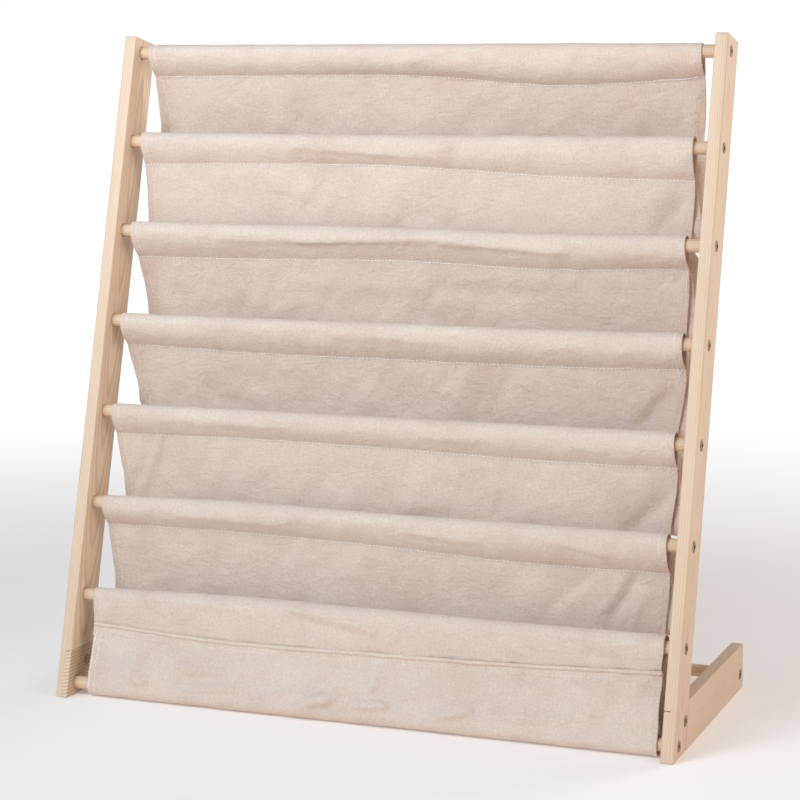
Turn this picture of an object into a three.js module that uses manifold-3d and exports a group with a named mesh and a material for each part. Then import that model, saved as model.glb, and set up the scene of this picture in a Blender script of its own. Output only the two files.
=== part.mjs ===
// A children's sling bookshelf: two leaning pine posts on two feet, eight rods between the posts,
// one rod between the feet, and a canvas cover sewn from six hanging slings and a front apron.
// Millimetres. +X runs to the right, +Y to the back and +Z up. The shelf stands on z = 0 and the
// origin is the middle of its footprint.
import * as THREE from 'three';
import { mergeVertices } from 'three/addons/utils/BufferGeometryUtils.js';
import Module from 'manifold-3d';

const wasm = await Module();
wasm.setup();

// Boards of the frame
const shelfWidth = 600;
const boardThickness = 12;
const postDepth = 41;
const footHeight = 43;
const footReach = 252; // from the lowest rod's axis back to the foot's end
const leanAngle = THREE.MathUtils.degToRad(14.3);
const topCutAngle = THREE.MathUtils.degToRad(11); // the post's top falls to the back by this much
const topMargin = 13; // along the post's front face, from the top rod's axis to the top corner
const boardEdge = 1.5; // eased edge
const lapShare = 0.5; // share of the board's thickness that the post keeps at its lap
const seatGap = 0.3; // between wooden faces that meet

// Rods
const rodCount = 8;
const rodRadius = 6;
const rodPitch = 88.5;
const lowestPitch = 83.7; // between the two lowest rods
const lowestRodHeight = 11;
const rodSetback = 16; // from the post's front face back to the rod axis
const rearRodInset = 12; // from the foot's rear end to the rear rod's axis
const rearRodHeight = 15.4;
const socketDepth = 6;
const socketClearance = 0.4;
const socketMouth = 1.2; // countersink round a socket
const rodChamfer = 0.8;
const rodEndGap = 0.3;

// Screws that hold the rods
const screwHeadRadius = 4.9;
const screwHeadHeight = 2.4;
const screwHeadEdge = 0.5;
const screwShankRadius = 2;
const screwGrip = 28; // length inside the rod
const screwTip = 3;
const counterboreRadius = 5.25;
const counterboreDepth = 3;
const shankClearance = 0.3;
const headSeatGap = 0.3;
const pilotOverrun = 2;
const hexKeyRadius = 2;
const hexKeyDepth = 1.5;

// Bolt and sleeve nut of each half-lapped post and foot
const lapBoltRise = 21.6; // up the post from the lowest rod's axis
const lapBoltInset = 8; // from the post's rear face
const lapBoltRadius = 2.5;
const lapNutRadius = 4;
const lapBoltTipGap = 0.5;
const lapNutFloor = 1.2;

// Canvas cover
const clothThickness = 1;
const clothGap = 0.3;
const clothSideGap = 12.5; // between each side of the cover and the post beside it
const seamDrop = 22; // from a rod's axis down to the stitches that close its sleeve
const lastSeamDrop = 30; // the same at the lowest sleeve, over the apron
const pocketDepth = 78; // from a rod's level down to the fold of the pocket behind it
// How far behind the rods each back wall hangs at the level of the next rod, from the top sling down
const wallDepths = [42, 26, 43, 42, 29, 31];
const foldRadius = 10;
const nestGap = 4; // between a pocket and the wall of the pocket in front of it
const foldDroop = 3; // the fold sags this much lower in mid-width
const lastSeamSetback = 2.5;
const apronLap = 3; // how far the apron's top hem rises above the last seam
const apronSleeveSlack = 1.8;
const apronSeamRise = 20;

// Fineness of the faceted surfaces
const boreSegments = 12;
const rodSegments = 16;
const screwSegments = 10;
const hexSides = 6;
const sleeveSteps = 8;
const wallSteps = 6;
const lowerWallSteps = 3;
const foldSteps = 6;
const clothColumns = 4;
const cutOverrun = 1;

// Colours and finishes
const pine = new THREE.MeshStandardMaterial({ color: 0xe3c9a6, roughness: 0.62, metalness: 0 });
const dowel = new THREE.MeshStandardMaterial({ color: 0xe0bd8e, roughness: 0.55, metalness: 0 });
const canvas = new THREE.MeshStandardMaterial({ color: 0xe2d4c8, roughness: 0.95, metalness: 0 });
const bronze = new THREE.MeshStandardMaterial({ color: 0x6d5a45, roughness: 0.38, metalness: 0.9 });

// Sizes worked out from those above
const sin = Math.sin(leanAngle);
const cos = Math.cos(leanAngle);
const halfWidth = shelfWidth / 2;
const innerFace = halfWidth - boardThickness;
const lapFace = halfWidth - boardThickness * lapShare;
const slingWidth = 2 * (innerFace - clothSideGap);
const rodTop = lowestPitch + rodPitch * (rodCount - 2);
const toeY = -(rodSetback + lowestRodHeight * sin) / cos;
const centreY = (toeY + footReach) / 2;

// A place in the shelf's side view. rise runs up the post from the lowest rod and back runs square
// to the post, from the plane of the rods to the back.
function sidePoint(rise, back) {
  return new THREE.Vector2(
    rise * sin + back * cos - centreY,
    lowestRodHeight + rise * cos - back * sin,
  );
}

// The same, measured down from a rod that lies at the given rise
function below(rise, drop, back) {
  return sidePoint(rise - drop, back);
}

function rodRise(number) {
  return number === rodCount ? 0 : lowestPitch + rodPitch * (rodCount - 1 - number);
}

// The point at height z on the line that runs up the post, so far behind its front face
function onPost(z, setback) {
  const back = setback - rodSetback;
  return sidePoint((z - lowestRodHeight + back * sin) / cos, back);
}

function toSolid(geometry) {
  geometry.deleteAttribute('normal');
  geometry.deleteAttribute('uv');
  const merged = mergeVertices(geometry);
  const corners = [];
  for (let first = 0; first < merged.index.count; first += 3) {
    const [a, b, c] = merged.index.array.slice(first, first + 3);
    if (a !== b && b !== c && c !== a) corners.push(a, b, c);
  }
  return new wasm.Manifold(new wasm.Mesh({
    numProp: 3,
    vertProperties: merged.attributes.position.array,
    triVerts: new Uint32Array(corners),
  }));
}

function toGeometry(solid) {
  const mesh = solid.getMesh();
  const geometry = new THREE.BufferGeometry();
  geometry.setAttribute('position', new THREE.BufferAttribute(mesh.vertProperties, 3));
  geometry.setIndex(new THREE.BufferAttribute(mesh.triVerts, 1));
  return geometry;
}

// A board with eased edges whose outline is given in the side view, from x = low to x = high
function board(outline, low, high) {
  const geometry = new THREE.ExtrudeGeometry(new THREE.Shape(outline), {
    depth: high - low - 2 * boardEdge,
    bevelThickness: boardEdge,
    bevelSize: boardEdge,
    bevelOffset: -boardEdge,
    bevelSegments: 1,
  });
  geometry.rotateX(Math.PI / 2).rotateZ(Math.PI / 2).translate(low + boardEdge, 0, 0);
  return toSolid(geometry);
}

// A plain prism for cutting, with its outline in the side view
function block(outline, low, high) {
  const geometry = new THREE.ExtrudeGeometry(new THREE.Shape(outline), {
    depth: high - low,
    bevelEnabled: false,
  });
  geometry.rotateX(Math.PI / 2).rotateZ(Math.PI / 2).translate(low, 0, 0);
  return toSolid(geometry);
}

// A round piece about the X axis through a side-view place. Its profile is a list of [x, radius]
// that starts and ends on the axis, and side is -1 where it is seen in the left half of the shelf.
function turned(profile, place, side, segments) {
  const points = profile.map(([x, radius]) => new THREE.Vector2(radius, x));
  const geometry = new THREE.LatheGeometry(points, segments);
  geometry.rotateZ(-Math.PI / 2);
  if (side < 0) geometry.rotateZ(Math.PI);
  return geometry.translate(0, place.x, place.y);
}

// The stepped hole for one rod end: socket with a countersunk mouth, shank hole and counterbore.
// faceX is the inner face of the board and seatX the bottom of the socket.
function rodHole(faceX, seatX, place, side) {
  const socket = rodRadius + socketClearance;
  const shank = screwShankRadius + shankClearance;
  const outside = halfWidth + cutOverrun;
  const headSeat = halfWidth - counterboreDepth;
  const profile = [
    [faceX - cutOverrun, 0], [faceX - cutOverrun, socket + socketMouth + cutOverrun],
    [faceX + socketMouth, socket], [seatX, socket], [seatX, shank],
    [headSeat, shank], [headSeat, counterboreRadius], [outside, counterboreRadius], [outside, 0],
  ];
  return toSolid(turned(profile, place, side, boreSegments));
}

// The stepped hole for the lap bolt, with the nut's recess on the inner face
function lapHole(place, side) {
  const outside = halfWidth + cutOverrun;
  const inside = innerFace - cutOverrun;
  const sleeve = lapNutRadius + shankClearance;
  const profile = [
    [inside, 0], [inside, counterboreRadius], [innerFace + counterboreDepth, counterboreRadius],
    [innerFace + counterboreDepth, sleeve], [halfWidth - counterboreDepth, sleeve],
    [halfWidth - counterboreDepth, counterboreRadius], [outside, counterboreRadius], [outside, 0],
  ];
  return toSolid(turned(profile, place, side, boreSegments));
}

const lapBoltPlace = sidePoint(lapBoltRise, postDepth - lapBoltInset - rodSetback);
const rearRodPlace = new THREE.Vector2(footReach - rearRodInset - centreY, rearRodHeight);
const socketSeat = innerFace + socketDepth;

// A post: a leaning board whose inner half is cut away below the top of the foot
function makePost(side) {
  const topFront = sidePoint(rodTop + topMargin, -rodSetback);
  const topFall = new THREE.Vector2(Math.cos(topCutAngle), -Math.sin(topCutAngle));
  const topRun = postDepth / Math.cos(leanAngle - topCutAngle);
  const outline = [
    onPost(0, 0), onPost(0, postDepth), topFront.clone().addScaledVector(topFall, topRun), topFront,
  ];
  const span = side > 0 ? [innerFace, halfWidth] : [-halfWidth, -innerFace];
  let post = board(outline, ...span);
  const shoulder = footHeight + seatGap;
  const cut = [
    onPost(-cutOverrun, -cutOverrun), onPost(-cutOverrun, postDepth + cutOverrun),
    onPost(shoulder, postDepth + cutOverrun), onPost(shoulder, -cutOverrun),
  ];
  const inner = innerFace - cutOverrun;
  const outer = lapFace + seatGap / 2;
  post = post.subtract(side > 0 ? block(cut, inner, outer) : block(cut, -outer, -inner));
  for (let number = 1; number <= rodCount; number += 1) {
    const seat = number === rodCount ? lapFace : socketSeat;
    post = post.subtract(rodHole(innerFace, seat, sidePoint(rodRise(number), 0), side));
  }
  return toGeometry(post.subtract(lapHole(lapBoltPlace, side)));
}

// A foot: a board on the floor whose outer half is cut away where the post crosses it
function makeFoot(side) {
  const rear = footReach - centreY;
  const outline = [
    onPost(0, 0), new THREE.Vector2(rear, 0), new THREE.Vector2(rear, footHeight), onPost(footHeight, 0),
  ];
  const span = side > 0 ? [innerFace, halfWidth] : [-halfWidth, -innerFace];
  let foot = board(outline, ...span);
  const top = footHeight + cutOverrun;
  const cut = [
    onPost(-cutOverrun, -cutOverrun), onPost(-cutOverrun, postDepth + seatGap),
    onPost(top, postDepth + seatGap), onPost(top, -cutOverrun),
  ];
  const inner = lapFace - seatGap / 2;
  const outer = halfWidth + cutOverrun;
  foot = foot.subtract(side > 0 ? block(cut, inner, outer) : block(cut, -outer, -inner));
  foot = foot.subtract(rodHole(innerFace, lapFace, sidePoint(0, 0), side));
  foot = foot.subtract(rodHole(innerFace, socketSeat, rearRodPlace, side));
  return toGeometry(foot.subtract(lapHole(lapBoltPlace, side)));
}

// A rod with a pilot hole in each end
function makeRod(place) {
  const end = socketSeat - rodEndGap;
  const pilot = screwShankRadius + shankClearance;
  const pilotEnd = socketSeat - screwGrip - pilotOverrun;
  const right = [
    [pilotEnd, 0], [pilotEnd, pilot], [end, pilot], [end, rodRadius - rodChamfer], [end - rodChamfer, rodRadius],
  ];
  const left = right.map(([x, radius]) => [-x, radius]);
  return turned([...left, ...right.reverse()], place, 1, rodSegments);
}

function hexKey(high) {
  const geometry = new THREE.CylinderGeometry(hexKeyRadius, hexKeyRadius, hexKeyDepth * 2, hexSides);
  return geometry.rotateZ(-Math.PI / 2).translate(high, 0, 0);
}

// A headed fastener whose head's outer face is at x = high, with a hexagon recess for the key
function makeHeaded(profile, high, place, side) {
  const body = toSolid(turned(profile, new THREE.Vector2(), 1, screwSegments));
  const geometry = toGeometry(body.subtract(toSolid(hexKey(high))));
  if (side < 0) geometry.rotateZ(Math.PI);
  return geometry.translate(0, place.x, place.y);
}

function makeScrew(place, side) {
  const seat = halfWidth - counterboreDepth + headSeatGap;
  const high = seat + screwHeadHeight;
  const tip = socketSeat - screwGrip;
  const profile = [
    [tip, 0], [tip + screwTip, screwShankRadius], [seat, screwShankRadius], [seat, screwHeadRadius],
    [high - screwHeadEdge, screwHeadRadius], [high, screwHeadRadius - screwHeadEdge], [high, 0],
  ];
  return makeHeaded(profile, high, place, side);
}

function makeLapBolt(side) {
  const seat = halfWidth - counterboreDepth + headSeatGap;
  const high = seat + screwHeadHeight;
  const tip = innerFace + counterboreDepth - headSeatGap - screwHeadHeight + lapNutFloor + lapBoltTipGap;
  const profile = [
    [tip, 0], [tip, lapBoltRadius], [seat, lapBoltRadius], [seat, screwHeadRadius],
    [high - screwHeadEdge, screwHeadRadius], [high, screwHeadRadius - screwHeadEdge], [high, 0],
  ];
  return makeHeaded(profile, high, lapBoltPlace, side);
}

// The sleeve nut: a flange on the inner face and a sleeve round the bolt
function makeLapNut(side) {
  const seat = innerFace + counterboreDepth - headSeatGap;
  const low = seat - screwHeadHeight;
  const end = halfWidth - counterboreDepth - seatGap;
  const thread = lapBoltRadius + shankClearance;
  const profile = [
    [low, 0], [low, screwHeadRadius - screwHeadEdge], [low + screwHeadEdge, screwHeadRadius],
    [seat, screwHeadRadius], [seat, lapNutRadius], [end, lapNutRadius], [end, thread],
    [low + lapNutFloor, thread], [low + lapNutFloor, 0],
  ];
  return turned(profile, lapBoltPlace, side, screwSegments);
}

// How far behind the plane of the rods the back wall of a sling hangs, so far below its own rod
function wallBack(sling, drop) {
  return wallDepths[sling - 1] * Math.sin((Math.PI / 2) * Math.min(drop / rodPitch, 1));
}

// The seam that closes the sleeve on a rod, as a drop and a distance back, and the unit step that
// leads from one cloth layer there to the next one behind it
function seam(number) {
  const last = number > wallDepths.length;
  const drop = last ? lastSeamDrop : seamDrop;
  const back = last ? lastSeamSetback : wallBack(number, drop);
  const reach = Math.hypot(drop, back);
  return { drop, back, stepDrop: -back / reach, stepBack: drop / reach };
}

const layerStep = clothThickness + clothGap;
const sleeveRadius = rodRadius + clothGap + clothThickness / 2;

function layerPoint(number, layers) {
  const { drop, back, stepDrop, stepBack } = seam(number);
  return below(rodRise(number), drop + layers * layerStep * stepDrop, back + layers * layerStep * stepBack);
}

// The cloth's way round a rod, as an arc between two tangents: it leaves the line that comes from
// the first point, passes from back to front over the rod or from front to back under it, and
// ends on the line to the last point
function wrap(centre, radius, from, to) {
  const angleTo = (point) => Math.atan2(point.y - centre.y, point.x - centre.x);
  const tangent = (point) => Math.acos(radius / point.distanceTo(centre));
  const start = angleTo(from) + tangent(from);
  let end = angleTo(to) - tangent(to);
  while (end <= start) end += Math.PI * 2;
  const points = [];
  for (let step = 0; step <= sleeveSteps; step += 1) {
    const angle = start + ((end - start) * step) / sleeveSteps;
    points.push(new THREE.Vector2(Math.cos(angle), Math.sin(angle)).multiplyScalar(radius).add(centre));
  }
  return points;
}

// The middle line of a sling in the side view, from the back layer of its sleeve over the rod,
// down the back wall, round the fold and up the front wall to the next seam. Each point carries
// the share of the fold's droop that it takes.
function slingPath(sling) {
  const rise = rodRise(sling);
  const centre = sidePoint(rise, 0);
  const points = [layerPoint(sling, 1)];
  points.push(...wrap(centre, sleeveRadius, layerPoint(sling, 1), layerPoint(sling, 0)));
  points.push(layerPoint(sling, 0));
  const shares = points.map(() => 0);
  const add = (drop, back, share) => {
    points.push(below(rise, drop, back));
    shares.push(share);
  };

  const droopShare = (drop) => (drop - seamDrop) / (rodPitch + pocketDepth - seamDrop);
  const last = sling === wallDepths.length;
  const plumb = (drop) => lastSeamSetback + Math.tan(leanAngle) * Math.max(drop - lastSeamDrop, 0);
  const inFront = (drop) => (last ? plumb(drop) : wallBack(sling + 1, drop));
  const foldFront = inFront(pocketDepth) + nestGap;
  const foldBack = Math.max(foldFront + 2 * foldRadius, wallDepths[sling - 1]);
  const radius = (foldBack - foldFront) / 2;
  const straight = pocketDepth - radius;

  for (let step = 1; step <= wallSteps; step += 1) {
    const drop = seamDrop + ((rodPitch - seamDrop) * step) / wallSteps;
    add(drop, wallBack(sling, drop), droopShare(drop));
  }
  for (let step = 1; step <= lowerWallSteps; step += 1) {
    const share = step / lowerWallSteps;
    const drop = rodPitch + straight * share;
    add(drop, THREE.MathUtils.lerp(wallDepths[sling - 1], foldBack, share), droopShare(drop));
  }
  for (let step = 1; step < foldSteps; step += 1) {
    const angle = (Math.PI * step) / foldSteps;
    add(
      rodPitch + straight + radius * Math.sin(angle),
      foldBack - radius + radius * Math.cos(angle),
      1,
    );
  }
  const nextSeam = seam(sling + 1);
  const seamClear = 2 * layerStep * nextSeam.stepBack;
  for (let step = wallSteps; step >= 1; step -= 1) {
    const share = step / wallSteps;
    const depth = nextSeam.drop + (straight - nextSeam.drop) * share;
    const clear = seamClear * (1 - share) + nestGap * share;
    add(rodPitch + depth, inFront(depth) + clear, share);
  }
  if (last) {
    const frontEnd = layerPoint(sling + 1, 0);
    points.push(...wrap(below(rise, rodPitch, 0), sleeveRadius, points.at(-1), frontEnd), frontEnd);
  } else {
    points.push(layerPoint(sling + 1, 2));
  }
  while (shares.length < points.length) shares.push(0);
  return { points, shares };
}

// The apron runs from its hem, which laps the last seam, down in front of the lowest rod, round
// under it and up behind to its own seam
function apronPath() {
  const lastSeam = layerPoint(rodCount - 1, 0);
  const onSleeve = wrap(sidePoint(lowestPitch, 0), sleeveRadius, lastSeam, lastSeam).at(-1);
  const along = lastSeam.clone().sub(onSleeve).normalize();
  const forward = new THREE.Vector2(along.y, -along.x);
  const top = lastSeam.clone().addScaledVector(along, -apronLap).addScaledVector(forward, layerStep);
  const radius = rodRadius + apronSleeveSlack + clothThickness / 2;
  const frontBack = -radius * (1 - apronSeamRise / (lowestPitch - lastSeamDrop));
  const seamEnd = sidePoint(apronSeamRise, frontBack + layerStep);
  const points = [top, ...wrap(sidePoint(0, 0), radius, top, seamEnd), seamEnd];
  return { points, shares: points.map(() => 0) };
}

// A closed sheet of cloth round a middle line, with the given number of columns across its width
function makeCloth({ points, shares }) {
  const outline = [];
  const droops = [];
  const offset = (sign) => points.map((point, index) => {
    const before = points[Math.max(index - 1, 0)];
    const after = points[Math.min(index + 1, points.length - 1)];
    const along = new THREE.Vector2().subVectors(after, before).normalize();
    return new THREE.Vector2(-along.y, along.x).multiplyScalar((sign * clothThickness) / 2).add(point);
  });
  outline.push(...offset(1), ...offset(-1).reverse());
  droops.push(...shares, ...shares.slice().reverse());

  const positions = [];
  for (let column = 0; column <= clothColumns; column += 1) {
    const across = (2 * column) / clothColumns - 1;
    const sag = foldDroop * (1 - across * across);
    outline.forEach((point, index) => {
      positions.push((across * slingWidth) / 2, point.x, point.y - sag * droops[index]);
    });
  }
  const count = outline.length;
  const indices = [];
  for (let column = 0; column < clothColumns; column += 1) {
    for (let index = 0; index < count; index += 1) {
      const a = column * count + index;
      const b = column * count + ((index + 1) % count);
      indices.push(a, b + count, b, a, a + count, b + count);
    }
  }
  const lastColumn = clothColumns * count;
  for (const [a, b, c] of THREE.ShapeUtils.triangulateShape(outline, [])) {
    indices.push(a, c, b, lastColumn + a, lastColumn + b, lastColumn + c);
  }
  const geometry = new THREE.BufferGeometry();
  geometry.setAttribute('position', new THREE.Float32BufferAttribute(positions, 3));
  geometry.setIndex(indices);
  return geometry;
}

const shelf = new THREE.Group();

function addPiece(name, geometry, material) {
  const mesh = new THREE.Mesh(geometry, material);
  mesh.name = name;
  shelf.add(mesh);
}

for (const [label, side] of [['left', -1], ['right', 1]]) {
  addPiece(`${label}_post`, makePost(side), pine);
  addPiece(`${label}_foot`, makeFoot(side), pine);
  for (let number = 1; number <= rodCount; number += 1) {
    addPiece(`${label}_rod_screw_${number}`, makeScrew(sidePoint(rodRise(number), 0), side), bronze);
  }
  addPiece(`${label}_rear_rod_screw`, makeScrew(rearRodPlace, side), bronze);
  addPiece(`${label}_lap_bolt`, makeLapBolt(side), bronze);
  addPiece(`${label}_lap_nut`, makeLapNut(side), bronze);
}
for (let number = 1; number <= rodCount; number += 1) {
  addPiece(`rod_${number}`, makeRod(sidePoint(rodRise(number), 0)), dowel);
}
addPiece('rear_rod', makeRod(rearRodPlace), dowel);
for (let sling = 1; sling <= wallDepths.length; sling += 1) {
  addPiece(`sling_${sling}`, makeCloth(slingPath(sling)), canvas);
}
addPiece('front_apron', makeCloth(apronPath()), canvas);

export default shelf;
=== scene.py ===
# A children's sling bookshelf: leaning pine posts on two feet, round rods, bronze screws and a
# canvas cover sewn into six hanging pockets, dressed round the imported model.
import math

import bmesh
import bpy
import numpy as np
from mathutils import Matrix, Vector


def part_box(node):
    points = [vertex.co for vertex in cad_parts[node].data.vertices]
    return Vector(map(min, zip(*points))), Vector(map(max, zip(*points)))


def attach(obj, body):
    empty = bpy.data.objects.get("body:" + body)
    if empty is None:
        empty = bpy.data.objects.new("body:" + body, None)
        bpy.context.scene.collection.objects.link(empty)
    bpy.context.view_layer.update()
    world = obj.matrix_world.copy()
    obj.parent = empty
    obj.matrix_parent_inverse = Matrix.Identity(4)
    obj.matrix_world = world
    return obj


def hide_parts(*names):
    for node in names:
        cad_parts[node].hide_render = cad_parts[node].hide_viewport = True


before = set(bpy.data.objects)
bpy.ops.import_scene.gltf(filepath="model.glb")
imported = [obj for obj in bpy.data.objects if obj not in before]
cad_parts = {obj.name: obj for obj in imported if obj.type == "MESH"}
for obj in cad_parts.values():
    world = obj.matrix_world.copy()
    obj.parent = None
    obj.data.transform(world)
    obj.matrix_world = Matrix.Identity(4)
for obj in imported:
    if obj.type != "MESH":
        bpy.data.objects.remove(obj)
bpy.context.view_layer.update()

MM = 0.001

# Boards of the frame
BOARD_THICKNESS = 12 * MM
POST_DEPTH = 41 * MM
FOOT_HEIGHT = 43 * MM
TOP_CUT = math.radians(11)
TOP_MARGIN = 13 * MM
ROD_SETBACK = 16 * MM
BOARD_EDGE = 1.5 * MM
BOARD_EDGE_STEPS = 4
BOARD_EDGE_PROFILE = 0.6
BOARD_REACH = 80 * MM
SEAT_GAP = 0.3 * MM
LAP_GAP = 0.06 * MM
CUT_OVERRUN = 2 * MM
TOUCH = 0.02 * MM
SMOOTH_ANGLE = math.radians(35)
LAP_RISE = 21.6 * MM
LAP_INSET = 8 * MM
RIGHT_SHOULDER_GAP = 0.8 * MM
LEFT_SHOULDER_GAP = 0.15 * MM

# Rods, their sockets and screws
ROD_RADIUS = 6 * MM
ROD_CHAMFER = 0.8 * MM
FACETS = 48
CHAMFER_STEPS = 3
SOCKET_RADIUS = 6.25 * MM
SOCKET_MOUTH = 6.5 * MM
SOCKET_LIP = 0.3 * MM
SOCKET_DEPTH = 6 * MM
ROD_END_GAP = 0.3 * MM
PILOT_RADIUS = 2.3 * MM
PILOT_DEPTH = 24 * MM
RECESS_RADIUS = 5.25 * MM
RECESS_DEPTH = 3 * MM
RECESS_MOUTH = 5.9 * MM
RECESS_LIP = 0.5 * MM
HEAD_RADIUS = 4.9 * MM
HEAD_HEIGHT = 2.4 * MM
HEAD_RISE = 0.8 * MM
HEAD_EDGE = 0.6 * MM
HEAD_SEAT_GAP = 0.3 * MM
SHANK_RADIUS = 2 * MM
SHANK_LENGTH = 28 * MM
SHANK_TIP = 3 * MM
KEY_RADIUS = 2.3 * MM
KEY_DEPTH = 1.5 * MM
LAP_SHANK_RADIUS = 2.5 * MM
NUT_RADIUS = 4 * MM
NUT_FLOOR = 1.2 * MM

# Canvas. A sling is described in the shelf's side view: drop runs down the posts from its own rod
# and back runs square to them, from the plane of the rods. Five values go across the width.
CLOTH = 0.7 * MM
HEM_EXTRA = 0.4 * MM
HEM_FRONT = CLOTH / 2 + 0.3 * HEM_EXTRA
HEM_REAR = CLOTH / 2 + 0.7 * HEM_EXTRA
HEM_WIDTH = 8 * MM
HEM_STITCH = 6.6 * MM
LAYER_STEP = 1.3 * MM
SLEEVE_RADIUS = ROD_RADIUS + 0.85 * MM
POCKET_DEPTH = 78 * MM
FOLD_RADIUS = 10 * MM
NEST_GAP = 4 * MM
FOLD_DROOP = 3 * MM
POCKET_SPREAD = 5 * MM
LAST_SEAM_BACK = 2.5 * MM
LAST_SLEEVE_FLARE = 2.8 * MM
WALL_DEPTHS = [value * MM for value in (42, 26, 43, 42, 29, 31)]
# Seam below the axis of rods 1 to 7
SEAM_DROPS = [
    (19.7, 19.0, 19.0, 26.6, 20.4),
    (20.6, 18.5, 18.8, 25.5, 27.5),
    (22.3, 21.6, 19.2, 22.5, 18.5),
    (20.5, 23.6, 23.3, 23.3, 20.4),
    (20.5, 18.0, 18.6, 21.0, 20.3),
    (19.3, 18.2, 20.5, 25.0, 24.4),
    (28.6, 34.4, 32.3, 29.5, 23.7),
]
# Air between the top of rods 1 to 7 and the loose sleeve
SLEEVE_LIFTS = [
    (0.9, 0.7, 0.5, 0.5, 0.0),
    (1.8, 1.9, 1.9, 2.5, 3.5),
    (1.8, 2.0, 2.1, 0.2, 1.8),
    (0.0, 0.0, 0.8, 1.0, 3.0),
    (0.4, 1.2, 1.9, 2.6, 3.5),
    (0.0, 3.2, 2.0, 2.3, 2.6),
    (0.1, 3.6, 3.6, 2.8, 3.7),
]
# How slack the front of each sleeve is: 0 is drawn straight to the seam and 1 hangs well forward
SLEEVE_SLACKS = [
    (0.40, 0.50, 0.70, 0.80, 0.70),
    (0.45, 0.35, 0.70, 0.60, 0.70),
    (0.35, 0.20, 0.05, 0.35, 0.70),
    (0.40, 0.35, 0.35, 0.45, 0.50),
    (0.40, 0.40, 0.45, 0.45, 0.55),
    (0.45, 0.40, 0.30, 0.60, 0.80),
    (0.80, 0.50, 0.75, 0.60, 0.60),
]
# Bare rod that shows between the cover and each post, from the top rod down
LEFT_GAPS = [value * MM for value in (10.3, 12.1, 10.9, 10.2, 11, 11, 12.5, 16.6)]
RIGHT_GAPS = [value * MM for value in (14, 15, 15, 11, 11, 11, 9, 6.2)]
# How much the left and the right side of a wall are drawn in below its sleeve
WALL_NARROWING = [(4.7, 4.7), (1.9, 3.3), (5.1, 5.1), (10.2, 10.2), (6.5, 6.5), (5.3, 5.3)]
# How far the left and the right hem of each wall curl back, and how wide a strip of them does
HEM_CURLS = [
    ((-12, 6), (8, 9)), ((-1, 9), (1, 9)), ((-1.5, 9), (1, 9)),
    ((-5, 6), (1, 9)), ((-1, 9), (1, 9)), ((-1, 9), (1, 9)),
]
EDGE_WAVE = 0.5 * MM
# Broad waves and finer rumples of the hanging walls
WAVE = 1.5 * MM
WAVE_WIDTH = 95 * MM
WAVE_HEIGHT = 60 * MM
RUMPLE = 0.9 * MM
RUMPLE_WIDTH = 30 * MM
PUCKER = 0.4 * MM
PUCKER_WIDTH = 8 * MM
CREASE_STRENGTH = 1.4
# Folds of the apron that cross don't pile up beyond this
FOLD_LIMIT = 6.2 * MM
# Crumples that each cloth has of its own: width and height in millimetres, how strong they are,
# and how much weaker at a seam and on the top of a sleeve
CRUMPLES = [(30, 0.9), (15, 0.42), (8, 0.2)]
FREE_CRUMPLE, SEAM_CALM, TOP_CALM = 0.9, 0.5, 0.7
SEAM_REACH = 9 * MM
TOP_REACH = (-2 * MM, 7 * MM)
LATTICE = 64
# Creases of each wall, from x, drop to x, drop, with their width and height in millimetres. A
# height above 0 lies proud to the front. Wall 7 is the apron.
CREASES = {
    1: [(147, 45, 118, 67, 7, 1.9)],
    2: [(263, 44, 236, 70, 9, -3.8), (-45, 57, -14, 64, 4, 1.5), (-11, 56, 47, 72, 6, -1.5)],
    3: [(-125, 41, 24, 42, 5, 1.5), (24, 42, 151, 44, 5, -1.5), (-140, 69, -113, 59, 4, 1.5)],
    4: [(-200, 63, -163, 70, 5, -1.9), (264, 38, 232, 70, 8, -3.4), (52, 41, 70, 72, 7, 1.7)],
    5: [
        (-214, 2, -247, 78, 3, -1.9), (-223, 4, -256, 76, 3, 1.7), (-232, 8, -262, 74, 3, -1.3),
        (272, 43, 229, 79, 9, -4.2), (14, 73, 54, 64, 4, 1.5), (112, 60, 108, 78, 5, -1.7),
    ],
    6: [
        (243, 20, 212, 66, 4, 2.5), (250, 26, 222, 70, 4, -2.3), (255, 39, 241, 75, 3, 1.9),
        (219, 28, 178, 62, 5, 1.7), (208, 30, 168, 60, 6, -1.7), (-284, 51, -247, 58, 4, 1.5),
        (20, 37, 39, 33, 3, 0.9), (-68, 82, -20, 73, 4, 1.3),
    ],
    7: [
        (49, 64, 94, 55, 6, 3.8), (74, 85, 112, 68, 5, 4.6), (191, 37, 236, 52, 6, 3.5),
        (-92, 86, -66, 66, 3, 2.6), (-54, 88, -22, 66, 4, 3.8), (-190, 61, -100, 60, 5, 3.5),
        (119, 67, 160, 60, 5, 3.5), (-240, 60, -214, 80, 5, 3.5), (-42, 58, -24, 43, 3, 2.7),
        (-4, 80, 31, 75, 5, 3.5), (49, 66, 67, 52, 3, 3.0), (87, 70, 117, 63, 4, 3.7),
        (-63, 84, -25, 75, 4, 3.5), (217, 43, 234, 31, 4, 2.4), (-180, 82, -120, 74, 5, 2.9),
        (140, 74, 200, 69, 5, 3.2), (130, 52, 180, 48, 5, 2.9), (-150, 52, -118, 46, 4, 2.6),
    ],
}
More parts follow.
